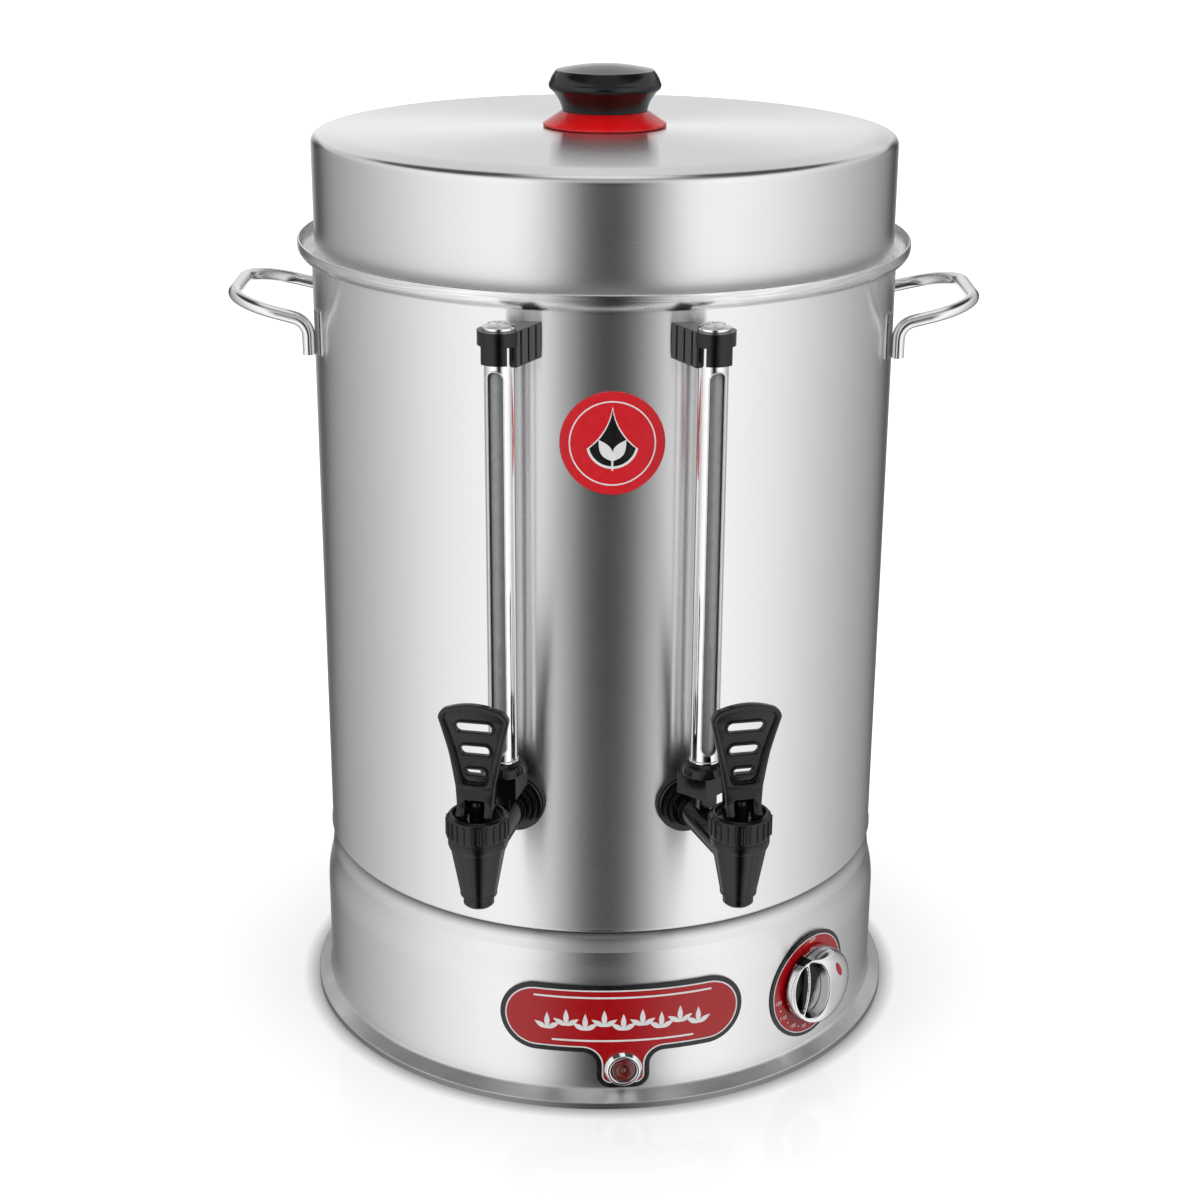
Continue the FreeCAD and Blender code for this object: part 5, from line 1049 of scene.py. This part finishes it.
def camera():
    data = given(bpy.data.cameras.new("camera"), lens=CAMERA_LENS, sensor_width=CAMERA_SENSOR)
    thing = placed("camera", data)
    turn = spin(-CAMERA_YAW) @ spin(90 - CAMERA_PITCH, "X") @ spin(CAMERA_ROLL)
    thing.matrix_world = shift(0, -CAMERA_DISTANCE, CAMERA_HEIGHT) @ turn
    bpy.context.scene.camera = thing


TENT_RADIUS = 20
TENT_POWER = 2
# The azimuth, in radians, of the dark flag in front of the urn, where the tones below start
TENT_MIDDLE = radians(2.2)
# The studio walls' brightness by degrees from the front: a dark flag, bright panels beside it, greyer
# walls behind, and a light strip before the dark gap right behind the urn
WALL_TONES = [(0, 0), (5, 0.03), (9, 0.1), (12.8, 0.25), (18.6, 0.5), (21, 0.68), (26, 0.9), (29, 1.05),
              (35, 1.16), (45, 1.2), (52, 1.16), (64, 1.07), (72, 1), (82, 0.87), (91, 0.76), (100, 0.66),
              (112, 0.54), (128, 0.41), (139, 0.27), (147, 0.1), (153, 0.06), (158, 0.2), (164, 0.55),
              (171, 0.9), (180, 0.95)]
# The same for the strip above the walls and for the upper panels
STRIP_TONES = [(0, 0.55), (12, 0.6), (28, 0.95), (45, 1.1), (80, 1), (120, 0.7), (140, 0.6), (160, 0.76),
               (180, 0.8)]
UPPER_TONES = [(0, 0.42), (35, 0.4), (60, 0.12), (80, 0.05), (138, 0.05), (160, 0.6), (172, 0.76),
               (180, 0.76)]
# Each higher part of the tent: the elevations where it starts to show and is full, in degrees
TENT_STEPS = [(13, 18, STRIP_TONES), (34, 42, UPPER_TONES), (70, 78, [(0, 1), (180, 1)])]
FLOOR_REACH = 15
# Where the floor's glow grows, in metres from the urn's axis, and from what to what
# The weaker glow near the urn paints shade round it and leaves room for the real shadow
FLOOR_FADE = (0.17, 0.36, 0.56, 0.86)
# The painted shadow ring beside the foot: its width in metres and its share of the glow at the foot
SHADOW_RING, SHADOW_TONE = 0.01, 0.15
SOFT_LIGHT = 0.55
URN_MIDDLE = (0, 0, 0.25)
# Each lamp's name, place, size and power
LAMPS = [("lamp_left", (-1.6, -1.4, 1.5), 1.4, 26), ("lamp_right", (1.6, -1.4, 1.5), 1.4, 26),
         ("lamp_top", (0, 0.2, 2.4), 2, 22)]


def tone_ramp(finish, share, tones):
    """Tones by degrees, for a share of half a turn. The light's power makes up for their halving."""
    ramp = finish.add("ShaderNodeValToRGB", share)
    elements = ramp.color_ramp.elements
    for index, (place, tone) in enumerate(tones):
        stop = elements[index] if index < 2 else elements.new(place / 180)
        stop.position = place / 180
        stop.color = (tone / TENT_POWER, tone / TENT_POWER, tone / TENT_POWER, 1)
    return ramp.outputs[0]


def studio_tent():
    """Walls and a ceiling that only reflections see."""
    mesh = bpy.data.meshes.new("studio_tent")
    shape = bmesh.new()
    bmesh.ops.create_uvsphere(shape, u_segments=96, v_segments=48, radius=TENT_RADIUS)
    shape.to_mesh(mesh)
    shape.free()
    mesh.shade_smooth()
    finish = Finish("studio_tent")
    x, y, z = finish.axes()
    away = finish.math("ABSOLUTE", finish.math("SUBTRACT", finish.turn(x, y), TENT_MIDDLE))
    share = finish.math("DIVIDE", away, pi)
    rise = finish.math("ARCSINE", finish.math("DIVIDE", z, TENT_RADIUS))
    tone = tone_ramp(finish, share, WALL_TONES)
    for low, high, tones in TENT_STEPS:
        step = finish.span(rise, radians(low), radians(high))
        tone = finish.mix(step, tone, tone_ramp(finish, share, tones))
    finish.show(finish.add("ShaderNodeEmission", tone, TENT_POWER))
    mesh.materials.append(finish.material)
    placed("studio_tent", mesh, "camera", "diffuse", "shadow", "volume_scatter")


def floor():
    """A pale floor with the real contact shadow, painted shade near the urn fading to white, a painted
    shadow ring at the foot.
    """
    mesh = bpy.data.meshes.new("floor")
    far = FLOOR_REACH
    mesh.from_pydata([(-far, -far, 0), (far, -far, 0), (far, far, 0), (-far, far, 0)], [], [(0, 1, 2, 3)])
    finish = Finish("floor", Base_Color=grey(0.3, 0), Roughness=0.1, Specular_IOR_Level=0.5)
    x, y, _ = finish.axes()
    away = finish.reach(x, y)
    # Painted shade: the glow is weaker near the urn
    wide = finish.span(away, *FLOOR_FADE)
    # Painted shadow: a dark ring in the glow right beside the foot
    painted_shadow = finish.span(away, FOOT_RADIUS * MM, FOOT_RADIUS * MM + SHADOW_RING, SHADOW_TONE, 1)
    seen = finish.add("ShaderNodeLightPath").outputs["Is Camera Ray"]
    strength = finish.times(seen, finish.times(wide, painted_shadow))
    glow = finish.add("ShaderNodeEmission", None, strength)
    finish.show(finish.add("ShaderNodeAddShader", finish.shader.outputs[0], glow.outputs[0]))
    mesh.materials.append(finish.material)
    placed("floor", mesh, "glossy")


def backdrop():
    """White where it is seen, in a mirror or through glass too, and a softer light elsewhere."""
    studio = bpy.data.worlds.new("studio")
    bpy.context.scene.world = studio
    studio.use_nodes = True
    tree = studio.node_tree
    link = tree.links.new
    rays = tree.nodes.new("ShaderNodeLightPath")
    seen = rays.outputs["Is Camera Ray"]
    for kind in ("Is Glossy Ray", "Is Transmission Ray"):
        either = given(tree.nodes.new("ShaderNodeMath"), operation="MAXIMUM")
        link(seen, either.inputs[0])
        link(rays.outputs[kind], either.inputs[1])
        seen = either.outputs[0]
    strength = tree.nodes.new("ShaderNodeMapRange")
    strength.inputs["To Min"].default_value = SOFT_LIGHT
    strength.inputs["To Max"].default_value = 1
    link(seen, strength.inputs["Value"])
    background = tree.nodes["Background"]
    link(strength.outputs[0], background.inputs["Strength"])
    background.inputs["Color"].default_value = (1, 1, 1, 1)


def lamp(name, place, size, power):
    """A soft square lamp that faces the urn's middle."""
    data = given(bpy.data.lights.new(name, "AREA"), size=size, energy=power)
    thing = placed(name, data, "glossy", "camera")
    aim = Vector(URN_MIDDLE) - Vector(place)
    thing.matrix_world = Matrix.Translation(place) @ aim.to_track_quat("-Z", "Y").to_matrix().to_4x4()


def main():
    bpy.context.scene.view_settings.view_transform = "Standard"
    camera()
    studio_tent()
    floor()
    backdrop()
    for entry in LAMPS:
        lamp(*entry)
    build_looks()


main()
